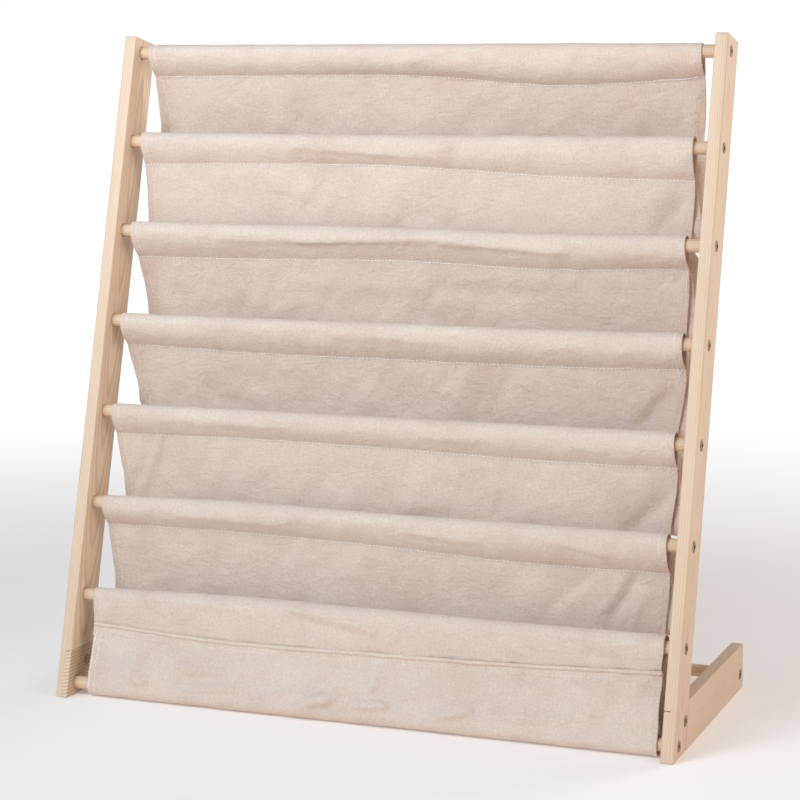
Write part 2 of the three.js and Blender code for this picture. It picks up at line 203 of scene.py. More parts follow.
# Creases on the front of each sleeve, given the same way from its rod
BAND_CREASES = {
    1: [
        (-20, 12, 16, 6, 5, 0.9), (40, 3, 62, 9, 4, -0.8), (170, 2, 205, 10, 4, 0.9),
        (196, 0, 214, 12, 3, 1.0),
    ],
    2: [(-115, 4, -40, 9, 5, 1.6), (-40, 9, 30, 17, 5, 2.2), (-110, 11, 20, 23, 5, -1.2)],
    3: [
        (-190, 7, -60, 6, 6, 1.0), (-103, 6, 33, 1, 5, 2.0), (33, 1, 165, 13, 5, 2.2),
        (-80, 13, 40, 9, 6, -1.2), (228, 12, 250, 4, 4, 1.2),
    ],
    4: [(-60, 5, 60, 8, 6, 0.9), (150, 12, 172, 5, 5, 0.9), (214, 14, 232, 7, 4, 1.0)],
    5: [(-230, 5, -90, 6, 6, 1.0), (40, 8, 110, 6, 6, 1.0), (180, 6, 214, 14, 4, 1.0)],
    6: [
        (27, 6, 104, 11, 5, 1.3), (127, -3, 180, 5, 4, 1.6), (180, 5, 266, 24, 4, 2.0),
        (186, 13, 262, 31, 5, -1.4), (-200, 6, -90, 9, 6, 1.0),
    ],
    7: [
        (-76, 2, 7, 17, 5, -2.4), (-74, -4, 14, 9, 5, 1.8), (134, 5, 154, 19, 3, 1.7),
        (98, 5, 109, 21, 3, 1.4), (195, 10, 262, 19, 4, -1.5), (193, 0, 223, 12, 4, -1.8),
        (230, 4, 260, -1, 4, 1.3), (-175, -3, -102, 4, 6, 1.2), (-225, 8, -200, 18, 5, -1.4),
    ],
}
# The apron: how its cloth lies, and how far above rod 8 its crumples fade and its folds begin
# again on the loop round the rod
APRON_LAP = 3 * MM
APRON_SLACK = 1.5 * MM
APRON_PUCKER = 1.2
APRON_CRUMPLE = 2.8
TOP_HEM_REACH = 12 * MM
LOOP_CALM = 0.85
LOOP_CALM_ZONE = (22 * MM, 4 * MM)
LOOP_FOLD_ZONE = (18 * MM, 6 * MM)
APRON_HOLLOW = 1.8 * MM
HOLLOW_PLACE, HOLLOW_WIDTH = 0.14, 0.08
APRON_SAG = 1.6 * MM
APRON_SEAM_RISE = 20 * MM
TOP_HEM_WIDTH = 9 * MM
TOP_HEM_EXTRA = 0.35 * MM
RIDGE_PLACE = 1.4 * MM
RIDGE_WIDTH = 1.7 * MM
RIDGE_HEIGHT = 1.6 * MM
STITCH_LENGTH = 2.4 * MM
STITCH_PITCH = 3.6 * MM
THREAD_RADIUS = 0.34 * MM
HEM_THREAD_RADIUS = 0.17 * MM
TOP_HEM_THREAD = 0.7 * HEM_THREAD_RADIUS
WHIP_THREAD = 1.3 * HEM_THREAD_RADIUS
WHIP_SLANT = 0.75
LOOSE_THREAD_RADIUS = 0.22 * MM
# Loose ends of thread, as row, column and lift in millimetres. Rows and columns may count back.
LOOSE_ENDS = {
    1: [[(24, -17, 0.3), (26, -16, 1.2), (28, -14, 0.8), (31, -11, 1.0), (33, -10, 0.3)],
        [(33, -22, 0.3), (32, -18, 1.6), (33, -12, 0.8), (32, -5, 0.3)]],
    3: [[(32, -3, 0.3), (34, -2, 1.4), (38, -4, 1.8), (42, -2, 0.8)]],
    4: [[(33, -4, 0.3), (35, -6, 1.2), (38, -3, 0.6)]],
}
THREAD_SIDES = 6
CLOTH_PITCH = 3 * MM
WEAVE_SHIFT = 0.7
# Rows of cloth: up behind a rod, over it, down its front, down the wall, down the back of the
# pocket, round its fold, up its front, and on from there to the last rod
BEHIND_ROWS, OVER_ROWS, BAND_ROWS, WALL_ROWS = 7, 15, 14, 31
POCKET_ROWS, FOLD_ROWS, FRONT_ROWS, LAST_ROWS = 17, 15, 24, 8
# Rows of the apron: its lap over the seam, its front from one share of the height to another, the
# loop round the rod and the end behind the front
LAP_ROWS, LOOP_ROWS, END_ROWS = 8, 22, 7
APRON_ROWS = ((0, 0.14, 10), (0.165, 1, 27))
# Share of the sag that the foot of a wall has, and above which nothing puckers at a seam
WALL_DROOP, PUCKER_DROOP = 0.4, 0.35
# Share of the front's height at which the last pocket goes over to its rod
LAST_REACH = 0.15
# Height over which a wall widens, above and below the next rod
LET_OUT = 10 * MM
# Rounds in which the rows of the hanging cloth are evened out
EVENING_ROUNDS = 4
# Share of the way to its control place to which both ends of a bend are drawn
BEND_PULL = 0.7

# The photograph's camera
PICTURE = 800
FOCAL_PIXELS = 2260.5
CAMERA_AZIMUTH = math.radians(20.95)
CAMERA_ELEVATION = math.radians(6.94)
CAMERA_ROLL = math.radians(0.08)
CAMERA_DISTANCE = 2.0169
AIM_HEIGHT = 0.3097
AIM_ASIDE = 0.0411
AIM_UP = 0.0239
MIDDLE_PIXEL = (401.95, 359.04)
SENSOR = 36

# The room round the shelf, above its bright horizon
WHITE = (1.0, 1.0, 1.0)
BLACK = (0.0, 0.0, 0.0)
ROOM_COLOUR = (0.27, 0.275, 0.285)
ZENITH_COLOUR = (0.34, 0.44, 0.58)
ROOM_STOPS = (0.05, 0.16, 0.75, 1.0)
COOL_LIGHT = (0.695, 0.845, 1.0)
WARM_FILL = (1.0, 0.98, 0.95)
WARM_REAR = (0.96, 0.94, 0.90)
# The sun: its place, strength and spread
KEY_SUN = ((-1.2, -2.6, 1.2), 1.16, math.radians(24))
# The lamps: place, target, width, power and colour
LAMPS = {
    "near": ((-0.35, -0.8, 1.0), (0, 0, 0.45), 0.5, 5.5, COOL_LIGHT),
    "fill": ((1.5, -0.5, 1.0), (0, 0, 0.3), 0.9, 5.4, WARM_FILL),
    "rear": ((1.0, 1.2, 1.2), (0.15, 0.1, 0.05), 0.8, 8.5, WARM_REAR),
}
# The floor: its own glow near the shelf, and how far off it turns into the bright horizon
FLOOR_SIZE = 40
FLOOR_DROP = 0.2 * MM
FLOOR_TONES = ((0.91, 0.82, 0.76), (0.93, 0.84, 0.78))
FLOOR_GLOW = 0.15
FLOOR_BLEND = (0.45, 1.9)

# Colours and grain of the wood, the heart being the middle of the tree
PALE_PINE = (0.775, 0.548, 0.368)
DEEP_PINE = (0.700, 0.465, 0.295)
RING_PINE = (0.540, 0.335, 0.190)
# Paler pine for the left post's broad faces: painted light, which brightens its inner face where it stands in
# shade beside the cover
PAINTED_LIGHT_PALE_SIDE = (0.940, 0.710, 0.500)
PAINTED_LIGHT_DEEP_SIDE = (0.760, 0.520, 0.340)
DEEP_FOOT = (0.735, 0.520, 0.345)
PALE_DOWEL = (0.810, 0.585, 0.390)
DEEP_DOWEL = (0.720, 0.480, 0.290)
STREAK_TONE = (0.93, 0.91, 0.89)
PATCH_TONE = (0.93, 0.90, 0.87)
WOOD_ROUGHNESS = 0.5
RING_PITCH = 2.3 * MM
WIDE_RINGS = 3 * MM
LEFT_FOOT_RINGS = 3.2 * MM
GRAIN_SWAY = (0.014, 0.014, 0)
# Other colours
DARK_BRONZE = (0.20, 0.13, 0.075)
WORN_BRONZE = (0.46, 0.33, 0.21)
CANVAS_GROUND = ((0.795, 0.605, 0.490), (0.820, 0.652, 0.545), (0.845, 0.685, 0.550))
SLUB_TONE = (0.94, 0.93, 0.92)
SPECKLE_TONE = (0.85, 0.82, 0.79)
SEED_TONE = (0.55, 0.43, 0.32)
THREAD_TONES = ((0.90, 0.81, 0.74), (0.98, 0.92, 0.87))
YARN_PITCH = 0.62 * MM
# Width of one band of a wave texture at scale 1
WAVE_PERIOD = 0.314


def middle(node):
    low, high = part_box(node)
    return (low + high) / 2


RODS = [middle(f"rod_{number}") for number in range(1, 9)]
REAR_ROD = middle("rear_rod")
UP_POST = (RODS[0] - RODS[-1]).normalized()
TO_REAR = Vector((0, UP_POST.z, -UP_POST.y))
LEAN = math.atan2(UP_POST.y, UP_POST.z)
HALF_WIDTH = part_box("right_post")[1].x
INNER_FACE = HALF_WIDTH - BOARD_THICKNESS
LAP_FACE = HALF_WIDTH - BOARD_THICKNESS / 2
FOOT_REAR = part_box("right_foot")[1].y


def beside(rod, drop, back):
    """The point of the side view that lies so far down the posts from a rod and so far behind."""
    return RODS[rod - 1] - UP_POST * drop + TO_REAR * back


# Working in Blender as by hand


def deselect():
    bpy.ops.object.select_all(action="DESELECT")


def take(piece):
    deselect()
    piece.select_set(True)
    bpy.context.view_layer.objects.active = piece


def settle(piece):
    """Puts a piece's place, turn and size into its mesh."""
    take(piece)
    bpy.ops.object.transform_apply(location=True, rotation=True, scale=True)


def newest(name):
    piece = bpy.context.object
    piece.name = name
    piece.data.name = name
    settle(piece)
    return piece


def edit(piece):
    take(piece)
    bpy.ops.object.mode_set(mode="EDIT")
    bpy.ops.mesh.select_all(action="DESELECT")


def leave_edit():
    bpy.ops.object.mode_set(mode="OBJECT")


def pick(kind, test):
    """Selects the faces or edges of the mesh in edit mode that pass a test."""
    mesh = bpy.context.edit_object.data
    bpy.ops.mesh.select_mode(type=kind)
    bpy.ops.mesh.select_all(action="DESELECT")
    shape = bmesh.from_edit_mesh(mesh)
    for element in shape.faces if kind == "FACE" else shape.edges:
        element.select_set(test(element))
    bmesh.update_edit_mesh(mesh)


def cut_off(point, outward):
    """Cuts the whole mesh in edit mode with a plane and drops what lies outside it."""
    bpy.ops.mesh.select_all(action="SELECT")
    bpy.ops.mesh.bisect(plane_co=point, plane_no=outward, use_fill=True, clear_outer=True)


def ease_board():
    """Eases all the edges of the board in edit mode."""
    bpy.ops.mesh.select_all(action="SELECT")
    bpy.ops.mesh.bevel(
        offset=BOARD_EDGE, segments=BOARD_EDGE_STEPS, profile=BOARD_EDGE_PROFILE, affect="EDGES"
    )


def carve(piece, tool):
    """Cuts a tool out of a piece and throws the tool away."""
    take(piece)
    cut = piece.modifiers.new("cut", "BOOLEAN")
    cut.operation = "DIFFERENCE"
    cut.object = tool
    cut.solver = "EXACT"
    bpy.ops.object.modifier_apply(modifier=cut.name)
    bpy.data.objects.remove(tool)


def smooth(piece):
    take(piece)
    bpy.ops.object.shade_smooth_by_angle(angle=SMOOTH_ANGLE)


def copy_of(piece, name, shift=(0, 0, 0), mirrored=False):
    """A copy with a mesh of its own, moved or mirrored in the shelf's middle plane."""
    take(piece)
    bpy.ops.object.duplicate(linked=False)
    twin = bpy.context.object
    twin.name = name
    twin.data.name = name
    twin.location = shift
    if mirrored:
        twin.scale = (-1, 1, 1)
    settle(twin)
    if mirrored:
        edit(twin)
        bpy.ops.mesh.select_all(action="SELECT")
        bpy.ops.mesh.normals_make_consistent(inside=False)
        leave_edit()
    return twin


def turned(name, steps, place):
    """A stepped round piece along X. Each step is (radius, x) and the piece runs from the first x
    to the last, changing to each radius on its way."""
    (radius, start), (_, end) = steps[0], steps[1]
    bpy.ops.mesh.primitive_cylinder_add(
        vertices=FACETS,
        radius=radius,
        depth=abs(end - start),
        location=(place.x + (start + end) / 2, place.y, place.z),
        rotation=(0, math.pi / 2, 0),
    )
    piece = newest(name)
    edit(piece)
    reached, x = radius, end
    for radius, next_x in steps[2:]:
        far = place.x + x
        pick(
            "FACE",
            lambda face: len(face.verts) == FACETS and abs(face.calc_center_median().x - far) < TOUCH,
        )
        bpy.ops.mesh.extrude_region_move(TRANSFORM_OT_translate={"value": (next_x - x, 0, 0)})
        if radius != reached:
            grow = radius / reached
            centre = Vector((place.x + next_x, place.y, place.z))
            bpy.ops.transform.resize(value=(1, grow, grow), center_override=centre)
        reached, x = radius, next_x
    leave_edit()
    return piece


# Materials


class Tree:
    """A node tree and short ways to fill it. A node's values go by the names of its inputs."""

    def __init__(self, tree):
        self.nodes, self.links = tree.nodes, tree.links

    def add(self, kind, values=(), **settings):
        node = self.nodes.new(f"ShaderNode{kind}")
        for name, value in settings.items():
            setattr(node, name, value)
        for name, value in dict(values).items():
            node.inputs[name].default_value = value
        return node

    def wire(self, source, output, target, name):
        self.links.new(source.outputs[output], target.inputs[name])

    def mapped(self, source, output, scale=(1, 1, 1), rotation=(0, 0, 0), location=(0, 0, 0)):
        place = self.add("Mapping", {"Location": location, "Rotation": rotation, "Scale": scale})
        self.wire(source, output, place, "Vector")
        return place

    def noise(self, vector, scale, detail=3.0, roughness=0.55, distortion=0.0):
        values = {"Scale": scale, "Detail": detail, "Roughness": roughness, "Distortion": distortion}
        texture = self.add("TexNoise", values)
        self.wire(vector, "Vector", texture, "Vector")
        return texture

    def ramp(self, source, output, stops):
        band = self.add("ValToRGB")
        elements = band.color_ramp.elements
        while len(elements) < len(stops):
            elements.new(0.5)
        for element, (position, colour) in zip(elements, stops):
            element.position = position
            element.color = (*colour, 1)
        self.wire(source, output, band, "Fac")
        return band

    def paint(self, shader, ground, *layers):
        """Gives the shader the ground's colour times each layer's. A layer is (share, node)."""
        colour = ground.outputs["Color"]
        for share, layer in layers:
            mix = self.add("Mix", {"Factor": share}, data_type="RGBA", blend_type="MULTIPLY")
            self.links.new(colour, mix.inputs["A"])
            self.wire(layer, "Color", mix, "B")
            colour = mix.outputs["Result"]
        self.links.new(colour, shader.inputs["Base Color"])

    def vary_roughness(self, texture, low, high, shader):
        rough = self.add("MapRange", {"To Min": low, "To Max": high})
        self.wire(texture, "Fac", rough, "Value")
        self.wire(rough, "Result", shader, "Roughness")

    def raise_bumps(self, shader, *layers):
        """Chains bump nodes. Each layer is (texture, its output, strength, distance)."""
        before = None
        for texture, output, strength, distance in layers:
            bump = self.add("Bump", {"Strength": strength, "Distance": distance})
            self.wire(texture, output, bump, "Height")
            if before:
                self.wire(before, "Normal", bump, "Normal")
            before = bump
        self.wire(before, "Normal", shader, "Normal")


def start_material(name, roughness, values=()):
    """A new material, its tree and its shader with the given values."""
    material = bpy.data.materials.new(name)
    material.use_nodes = True
    tree = Tree(material.node_tree)
    shader = tree.nodes["Principled BSDF"]
    for key, value in {"Roughness": roughness, **dict(values)}.items():
        shader.inputs[key].default_value = value
    return material, tree, shader


def wood(name, turn, heart, pale, deep, ring_pitch=RING_PITCH, taper=0.035, shape="Z"):
    """Planed timber whose grain runs along Z once the pattern is turned. heart is how far off the
    tree's middle lies, across the grain. Rings of the shape SPHERICAL close up along the grain,
    by their taper, and show as arches on a face that cuts them flat."""
    lacquer = {"Coat Weight": 0.12, "Coat Roughness": 0.35}
    material, tree, shader = start_material(name, WOOD_ROUGHNESS, lacquer)
    along = tree.mapped(tree.add("TexCoord"), "Object", rotation=turn)
    sway = tree.noise(tree.mapped(along, "Vector", (9, 9, 1.6)), 1.0, 2.0)
    ring_place = tree.mapped(along, "Vector", (1, 1, taper), location=heart)
    shifted = tree.add("VectorMath", {1: GRAIN_SWAY}, operation="MULTIPLY_ADD")
    tree.wire(sway, "Color", shifted, 0)
    tree.wire(ring_place, "Vector", shifted, 2)
    rings = tree.add(
        "TexWave",
        {"Scale": WAVE_PERIOD / ring_pitch, "Distortion": 0.6, "Detail": 2.0, "Detail Scale": 40.0},
        wave_type="RINGS",
        rings_direction=shape,
        wave_profile="SAW",
    )
    tree.wire(shifted, "Vector", rings, "Vector")
    grain = tree.ramp(rings, "Fac", [(0.0, pale), (0.55, pale), (0.86, deep), (1.0, pale)])
    fibres = tree.noise(tree.mapped(along, "Vector", (1, 1, 0.02)), 1500.0, 4.0, 0.6)
    streaks = tree.ramp(fibres, "Fac", [(0.3, STREAK_TONE), (0.62, WHITE)])
    tone = tree.noise(tree.mapped(along, "Vector", (1, 1, 0.12)), 60.0, 2.0)
    patches = tree.ramp(tone, "Fac", [(0.3, PATCH_TONE), (0.7, WHITE)])
    tree.paint(shader, grain, (0.9, streaks), (0.9, patches))
    tree.vary_roughness(fibres, WOOD_ROUGHNESS - 0.06, WOOD_ROUGHNESS + 0.08, shader)
    tree.raise_bumps(shader, (fibres, "Fac", 0.25, 0.25 * MM), (rings, "Fac", 0.08, 0.3 * MM))
    return material


def bronze():
    material, tree, shader = start_material("antique_bronze", 0.4, {"Metallic": 0.85})
    grime = tree.noise(tree.mapped(tree.add("TexCoord"), "Object"), 420.0, 4.0)
    tree.paint(shader, tree.ramp(grime, "Fac", [(0.3, DARK_BRONZE), (0.7, WORN_BRONZE)]))
    tree.vary_roughness(grime, 0.3, 0.5, shader)
    tree.raise_bumps(shader, (grime, "Fac", 0.1, 0.1 * MM))
    return material


def canvas():
    """Undyed cotton canvas. It reads the cloth's own map, in metres across and along the cut."""
    values = {"Sheen Weight": 0.15, "Sheen Roughness": 0.5, "Specular IOR Level": 0.25}
    material, tree, shader = start_material("undyed_canvas", 0.93, values)
    chart = tree.add("UVMap", uv_map="cut")
    weft_slubs = tree.noise(tree.mapped(chart, "UV", (55, 1500, 1)), 1.0, 2.5, 0.6)
    warp_slubs = tree.noise(tree.mapped(chart, "UV", (1500, 55, 1)), 1.0, 2.5, 0.6)
    cloudy = tree.noise(tree.mapped(chart, "UV"), 17.0, 4.0, 0.6, 0.4)
    wrinkles = tree.noise(tree.mapped(chart, "UV", (1, 1.4, 1), (0, 0, 0.5)), 62.0, 5.0, 0.62, 1.4)
    mottle = tree.noise(tree.mapped(chart, "UV"), 430.0, 3.0, 0.75)
    weft_tone, warp_tone = (
        tree.ramp(slubs, "Fac", [(0.36, SLUB_TONE), (0.62, WHITE)]) for slubs in (weft_slubs, warp_slubs)
    )
    ground = tree.ramp(cloudy, "Fac", list(zip((0.33, 0.5, 0.7), CANVAS_GROUND)))
    speckle = tree.ramp(mottle, "Fac", [(0.3, SPECKLE_TONE), (0.7, WHITE)])
    seeds = tree.add("TexVoronoi", {"Scale": 26.0, "Randomness": 1.0})
    tree.wire(tree.mapped(chart, "UV"), "Vector", seeds, "Vector")
    specks = tree.ramp(seeds, "Distance", [(0.006, SEED_TONE), (0.014, WHITE)])
    tree.paint(shader, ground, (0.8, weft_tone), (0.8, warp_tone), (1.0, speckle), (1.0, specks))
    weave = tree.add("Math", operation="MULTIPLY")
    for number, direction in enumerate("XY"):
        values = {"Scale": WAVE_PERIOD / YARN_PITCH, "Distortion": 0.4, "Detail": 1.0}
        yarn = tree.add("TexWave", values, bands_direction=direction)
        tree.wire(tree.mapped(chart, "UV"), "Vector", yarn, "Vector")
        tree.wire(yarn, "Fac", weave, number)
    tree.raise_bumps(
        shader,
        (wrinkles, "Fac", 0.5, 2.6 * MM),
        (weft_slubs, "Fac", 0.15, 0.3 * MM),
        (warp_slubs, "Fac", 0.15, 0.3 * MM),
        (mottle, "Fac", 0.7, 0.6 * MM),
        (weave, "Value", 0.2, 0.15 * MM),
    )
    return material


def thread():
    material, tree, shader = start_material("cotton_thread", 0.8, {"Sheen Weight": 0.2})
    twist = tree.noise(tree.mapped(tree.add("TexCoord"), "Object"), 900.0, 2.0)
    tree.paint(shader, tree.ramp(twist, "Fac", list(zip((0.3, 0.7), THREAD_TONES))))
    tree.raise_bumps(shader, (twist, "Fac", 0.3, 0.1 * MM))
    return material


ALONG_POST, ALONG_FOOT, ALONG_ROD = (LEAN, 0, 0), (math.pi / 2, 0, 0), (0, math.pi / 2, 0)
POST_MIDDLE = -(RODS[7].y * math.cos(LEAN) - RODS[7].z * math.sin(LEAN))
post_wood = wood("pine_post", ALONG_POST, (0.09, 0.045, 0), PALE_PINE, DEEP_PINE)
foot_wood = wood("pine_foot", ALONG_FOOT, (0.07, 0.06, 0), PALE_PINE, DEEP_PINE)
left_foot_wood = wood(
    "ringed_pine_foot", ALONG_FOOT, (0.294, 0.09, 0), PALE_PINE, RING_PINE, ring_pitch=LEFT_FOOT_RINGS
)
# The left post's broad faces: flat-sawn grain in a paler tone that is painted light
left_side_wood_painted_light = wood(
    "flat_sawn_left_post_painted_light", ALONG_POST, (0.292, POST_MIDDLE - 0.012, -0.036), PAINTED_LIGHT_PALE_SIDE, PAINTED_LIGHT_DEEP_SIDE,
    ring_pitch=WIDE_RINGS, taper=0.07, shape="SPHERICAL",
)
right_side_wood = wood(
    "flat_sawn_right_post", ALONG_POST, (-0.32, POST_MIDDLE - 0.008, -0.02), PALE_PINE, DEEP_PINE,
    taper=0.05, shape="SPHERICAL",
)
foot_side_wood = wood(
    "flat_sawn_foot", ALONG_FOOT, (-0.32, 0.013, 0.01), PALE_PINE, DEEP_FOOT,
    ring_pitch=WIDE_RINGS, taper=0.1, shape="SPHERICAL",
)
rod_wood = wood("turned_dowel", ALONG_ROD, (0.03, 0.05, 0), PALE_DOWEL, DEEP_DOWEL)
metal = bronze()
fabric = canvas()
cotton = thread()


def finish_piece(piece, material, slot, *nodes):
    piece.data.materials.clear()
    piece.data.materials.append(material)
    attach(piece, "root")
    if nodes:
        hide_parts(*nodes)
    return piece


def face_sides(piece, material):
    """Gives a board's broad faces, which look along X, a grain of their own. On the left post this material
    is also painted light: a paler tone than the other pine.
    """
    piece.data.materials.append(material)
    for face in piece.data.polygons:
        if abs(face.normal.x) > 0.9:
            face.material_index = 1


# Frame


def hole_tool(name, place, *steps):
    """The cutter for a hole whose outer end is the recess for a head, with a chamfered mouth."""
    recess = [
        (RECESS_MOUTH, HALF_WIDTH + CUT_OVERRUN), (RECESS_MOUTH, HALF_WIDTH),
        (RECESS_RADIUS, HALF_WIDTH - RECESS_LIP), (RECESS_RADIUS, HALF_WIDTH - RECESS_DEPTH),
    ]
    return turned(name, [*recess, *steps], place)


def bore_tool(place, seat):
    """The cutter for one end of a rod: recess, shank hole, socket and its mouth."""
    return hole_tool(
        "bore_tool", place,
        (PILOT_RADIUS, HALF_WIDTH - RECESS_DEPTH), (PILOT_RADIUS, seat), (SOCKET_RADIUS, seat),
        (SOCKET_RADIUS, INNER_FACE + SOCKET_LIP), (SOCKET_MOUTH, INNER_FACE),
        (SOCKET_MOUTH, INNER_FACE - CUT_OVERRUN),
    )


def lap_bolt_tool():
    """The cutter for the lap bolt and its sleeve nut."""
    sleeve_radius, nut_seat = NUT_RADIUS + SEAT_GAP, INNER_FACE + RECESS_DEPTH
    return hole_tool(
        "lap_bolt_tool", LAP_PLACE,
        (sleeve_radius, HALF_WIDTH - RECESS_DEPTH), (sleeve_radius, nut_seat),
        (RECESS_RADIUS, nut_seat), (RECESS_RADIUS, INNER_FACE - CUT_OVERRUN),
    )


def block(name, low, high):
    """A plain block that stands along the posts. Its corners are (x, rise, back) from rod 8."""
    size = [b - a for a, b in zip(low, high)]
    mid = [(a + b) / 2 for a, b in zip(low, high)]
    bpy.ops.mesh.primitive_cube_add(
        size=1,
        location=Vector((mid[0], 0, 0)) + beside(8, -mid[1], mid[2]),
        rotation=(-LEAN, 0, 0),
        scale=(size[0], size[2], size[1]),
    )
    return newest(name)


LAP_PLACE = beside(8, -LAP_RISE, POST_DEPTH - LAP_INSET - ROD_SETBACK)
SOCKET_SEAT = INNER_FACE + SOCKET_DEPTH
FRONT_BACK, REAR_BACK = -ROD_SETBACK, POST_DEPTH - ROD_SETBACK
TOP_RISE = (RODS[0] - RODS[7]).length + TOP_MARGIN


def make_post(shoulder_gap):
    low = (INNER_FACE, -BOARD_REACH, FRONT_BACK)
    post = block("post_board", low, (HALF_WIDTH, TOP_RISE + BOARD_REACH, REAR_BACK))
    edit(post)
    cut_off((0, 0, 0), (0, 0, -1))
    cut_off(beside(8, -TOP_RISE, FRONT_BACK), (0, math.sin(TOP_CUT), math.cos(TOP_CUT)))
    ease_board()
    leave_edit()
    low = (INNER_FACE - CUT_OVERRUN, -BOARD_REACH, -BOARD_REACH)
    lap = block("lap_tool", low, (LAP_FACE + LAP_GAP / 2, BOARD_REACH, BOARD_REACH))
    edit(lap)
    cut_off((0, 0, FOOT_HEIGHT + shoulder_gap), (0, 0, 1))
    leave_edit()
    carve(post, lap)
    for place in RODS:
        seat = LAP_FACE if place is RODS[-1] else SOCKET_SEAT
        carve(post, bore_tool(Vector((0, place.y, place.z)), seat))
    carve(post, lap_bolt_tool())
    smooth(post)
    return post


def make_foot():
    toe = beside(8, 0, FRONT_BACK)
    length = FOOT_REAR + BOARD_REACH - toe.y
    bpy.ops.mesh.primitive_cube_add(
        size=1,
        location=((INNER_FACE + HALF_WIDTH) / 2, FOOT_REAR - length / 2, FOOT_HEIGHT / 2),
        scale=(BOARD_THICKNESS, length, FOOT_HEIGHT),
    )
    foot = newest("foot_board")
    edit(foot)
    cut_off(toe, -TO_REAR)
    ease_board()
    leave_edit()
    low = (LAP_FACE - LAP_GAP / 2, -BOARD_REACH, -BOARD_REACH)
    carve(foot, block("lap_tool", low, (HALF_WIDTH + CUT_OVERRUN, BOARD_REACH, REAR_BACK + LAP_GAP)))
    carve(foot, bore_tool(Vector((0, RODS[7].y, RODS[7].z)), LAP_FACE))
    carve(foot, bore_tool(REAR_ROD, SOCKET_SEAT))
    carve(foot, lap_bolt_tool())
    smooth(foot)
    return foot


def make_rod():
    end = SOCKET_SEAT - ROD_END_GAP
    rod = turned("rod", [(ROD_RADIUS, -end), (ROD_RADIUS, end)], Vector())
    edit(rod)
    pick("FACE", lambda face: abs(face.normal.x) > 0.9)
    bpy.ops.mesh.bevel(offset=ROD_CHAMFER, segments=CHAMFER_STEPS, affect="EDGES")
    for side in (-1, 1):
        pick("FACE", lambda face: face.normal.x * side > 0.99 and len(face.verts) == FACETS)
        bpy.ops.mesh.inset(thickness=ROD_RADIUS - ROD_CHAMFER - PILOT_RADIUS)
        bpy.ops.mesh.extrude_region_move(TRANSFORM_OT_translate={"value": (-side * PILOT_DEPTH, 0, 0)})
    leave_edit()
    smooth(rod)
    return rod


def round_head(piece, x):
    """Eases the rim of a head whose outer face lies at x."""
    edit(piece)
    pick("EDGE", lambda edge: all(abs(vert.co.x - x) < TOUCH for vert in edge.verts))
    bpy.ops.mesh.bevel(offset=HEAD_EDGE, segments=CHAMFER_STEPS, affect="EDGES")
    leave_edit()


def key_tool(x):
    bpy.ops.mesh.primitive_cylinder_add(
        vertices=6, radius=KEY_RADIUS, depth=2 * KEY_DEPTH, location=(x, 0, 0), rotation=(0, math.pi / 2, 0)
    )
    return newest("key_tool")


def headed(name, shank_radius, shank_end, tip):
    """A screw along X whose head lies in a recess of the right board's outer face."""
    seat = HALF_WIDTH - RECESS_DEPTH + HEAD_SEAT_GAP
    top = seat + HEAD_HEIGHT + HEAD_RISE
    steps = [(HEAD_RADIUS, top), (HEAD_RADIUS, seat), (shank_radius, seat), (shank_radius, shank_end + tip)]
    if tip:
        steps.append((shank_radius / 8, shank_end))
    piece = turned(name, steps, Vector())
    round_head(piece, top)
    carve(piece, key_tool(top))
    smooth(piece)
    return piece


def make_nut():
    seat = INNER_FACE + RECESS_DEPTH - HEAD_SEAT_GAP
    low = seat - HEAD_HEIGHT
    end = HALF_WIDTH - RECESS_DEPTH - SEAT_GAP
    thread_radius = LAP_SHANK_RADIUS + SEAT_GAP
    steps = [
        (HEAD_RADIUS, low), (HEAD_RADIUS, seat), (NUT_RADIUS, seat), (NUT_RADIUS, end),
        (thread_radius, end), (thread_radius, low + NUT_FLOOR),
    ]
    nut = turned("lap_nut", steps, LAP_PLACE)
    round_head(nut, low)
    smooth(nut)
    return nut


post = finish_piece(make_post(RIGHT_SHOULDER_GAP), post_wood, "pine")
post_pattern = make_post(LEFT_SHOULDER_GAP)
left_post = copy_of(post_pattern, "left_post_board", mirrored=True)
finish_piece(left_post, post_wood, "pine", "left_post")
# Painted light: the left post's broad faces are paler than the rest of its pine
face_sides(left_post, left_side_wood_painted_light)
face_sides(post, right_side_wood)
post.name = "right_post_board"
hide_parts("right_post")
foot = finish_piece(make_foot(), foot_wood, "pine")
finish_piece(copy_of(foot, "left_foot_board", mirrored=True), left_foot_wood, "pine", "left_foot")
foot.name = "right_foot_board"
face_sides(foot, foot_side_wood)
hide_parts("right_foot")

rod = make_rod()
screw = headed("screw", SHANK_RADIUS, SOCKET_SEAT - SHANK_LENGTH, SHANK_TIP)
rod_list = [(f"rod_{number}", f"rod_screw_{number}", place) for number, place in enumerate(RODS, 1)]
for label, screw_label, place in [*rod_list, ("rear_rod", "rear_rod_screw", REAR_ROD)]:
    finish_piece(copy_of(rod, f"{label}_dowel", place), rod_wood, "dowel", label)
    for side in ("left", "right"):
        twin = copy_of(screw, f"{side}_{screw_label}_bronze", place, side == "left")
        finish_piece(twin, metal, "bronze", f"{side}_{screw_label}")
bolt_end = INNER_FACE + RECESS_DEPTH - HEAD_SEAT_GAP - HEAD_HEIGHT + NUT_FLOOR + SEAT_GAP
lap_bolt = headed("lap_bolt", LAP_SHANK_RADIUS, bolt_end, 0)
lap_nut = make_nut()
for side in ("left", "right"):
    for pattern, shift in ((lap_bolt, LAP_PLACE), (lap_nut, (0, 0, 0))):
        label = f"{side}_{pattern.name}"
        finish_piece(copy_of(pattern, f"{label}_bronze", shift, side == "left"), metal, "bronze", label)
for pattern in (post_pattern, rod, screw, lap_bolt, lap_nut):
    bpy.data.objects.remove(pattern)

# Canvas cover


def smooth_step(value, low, high):
    part = np.clip((value - low) / (high - low), 0, 1)
    return part * part * (3 - 2 * part)


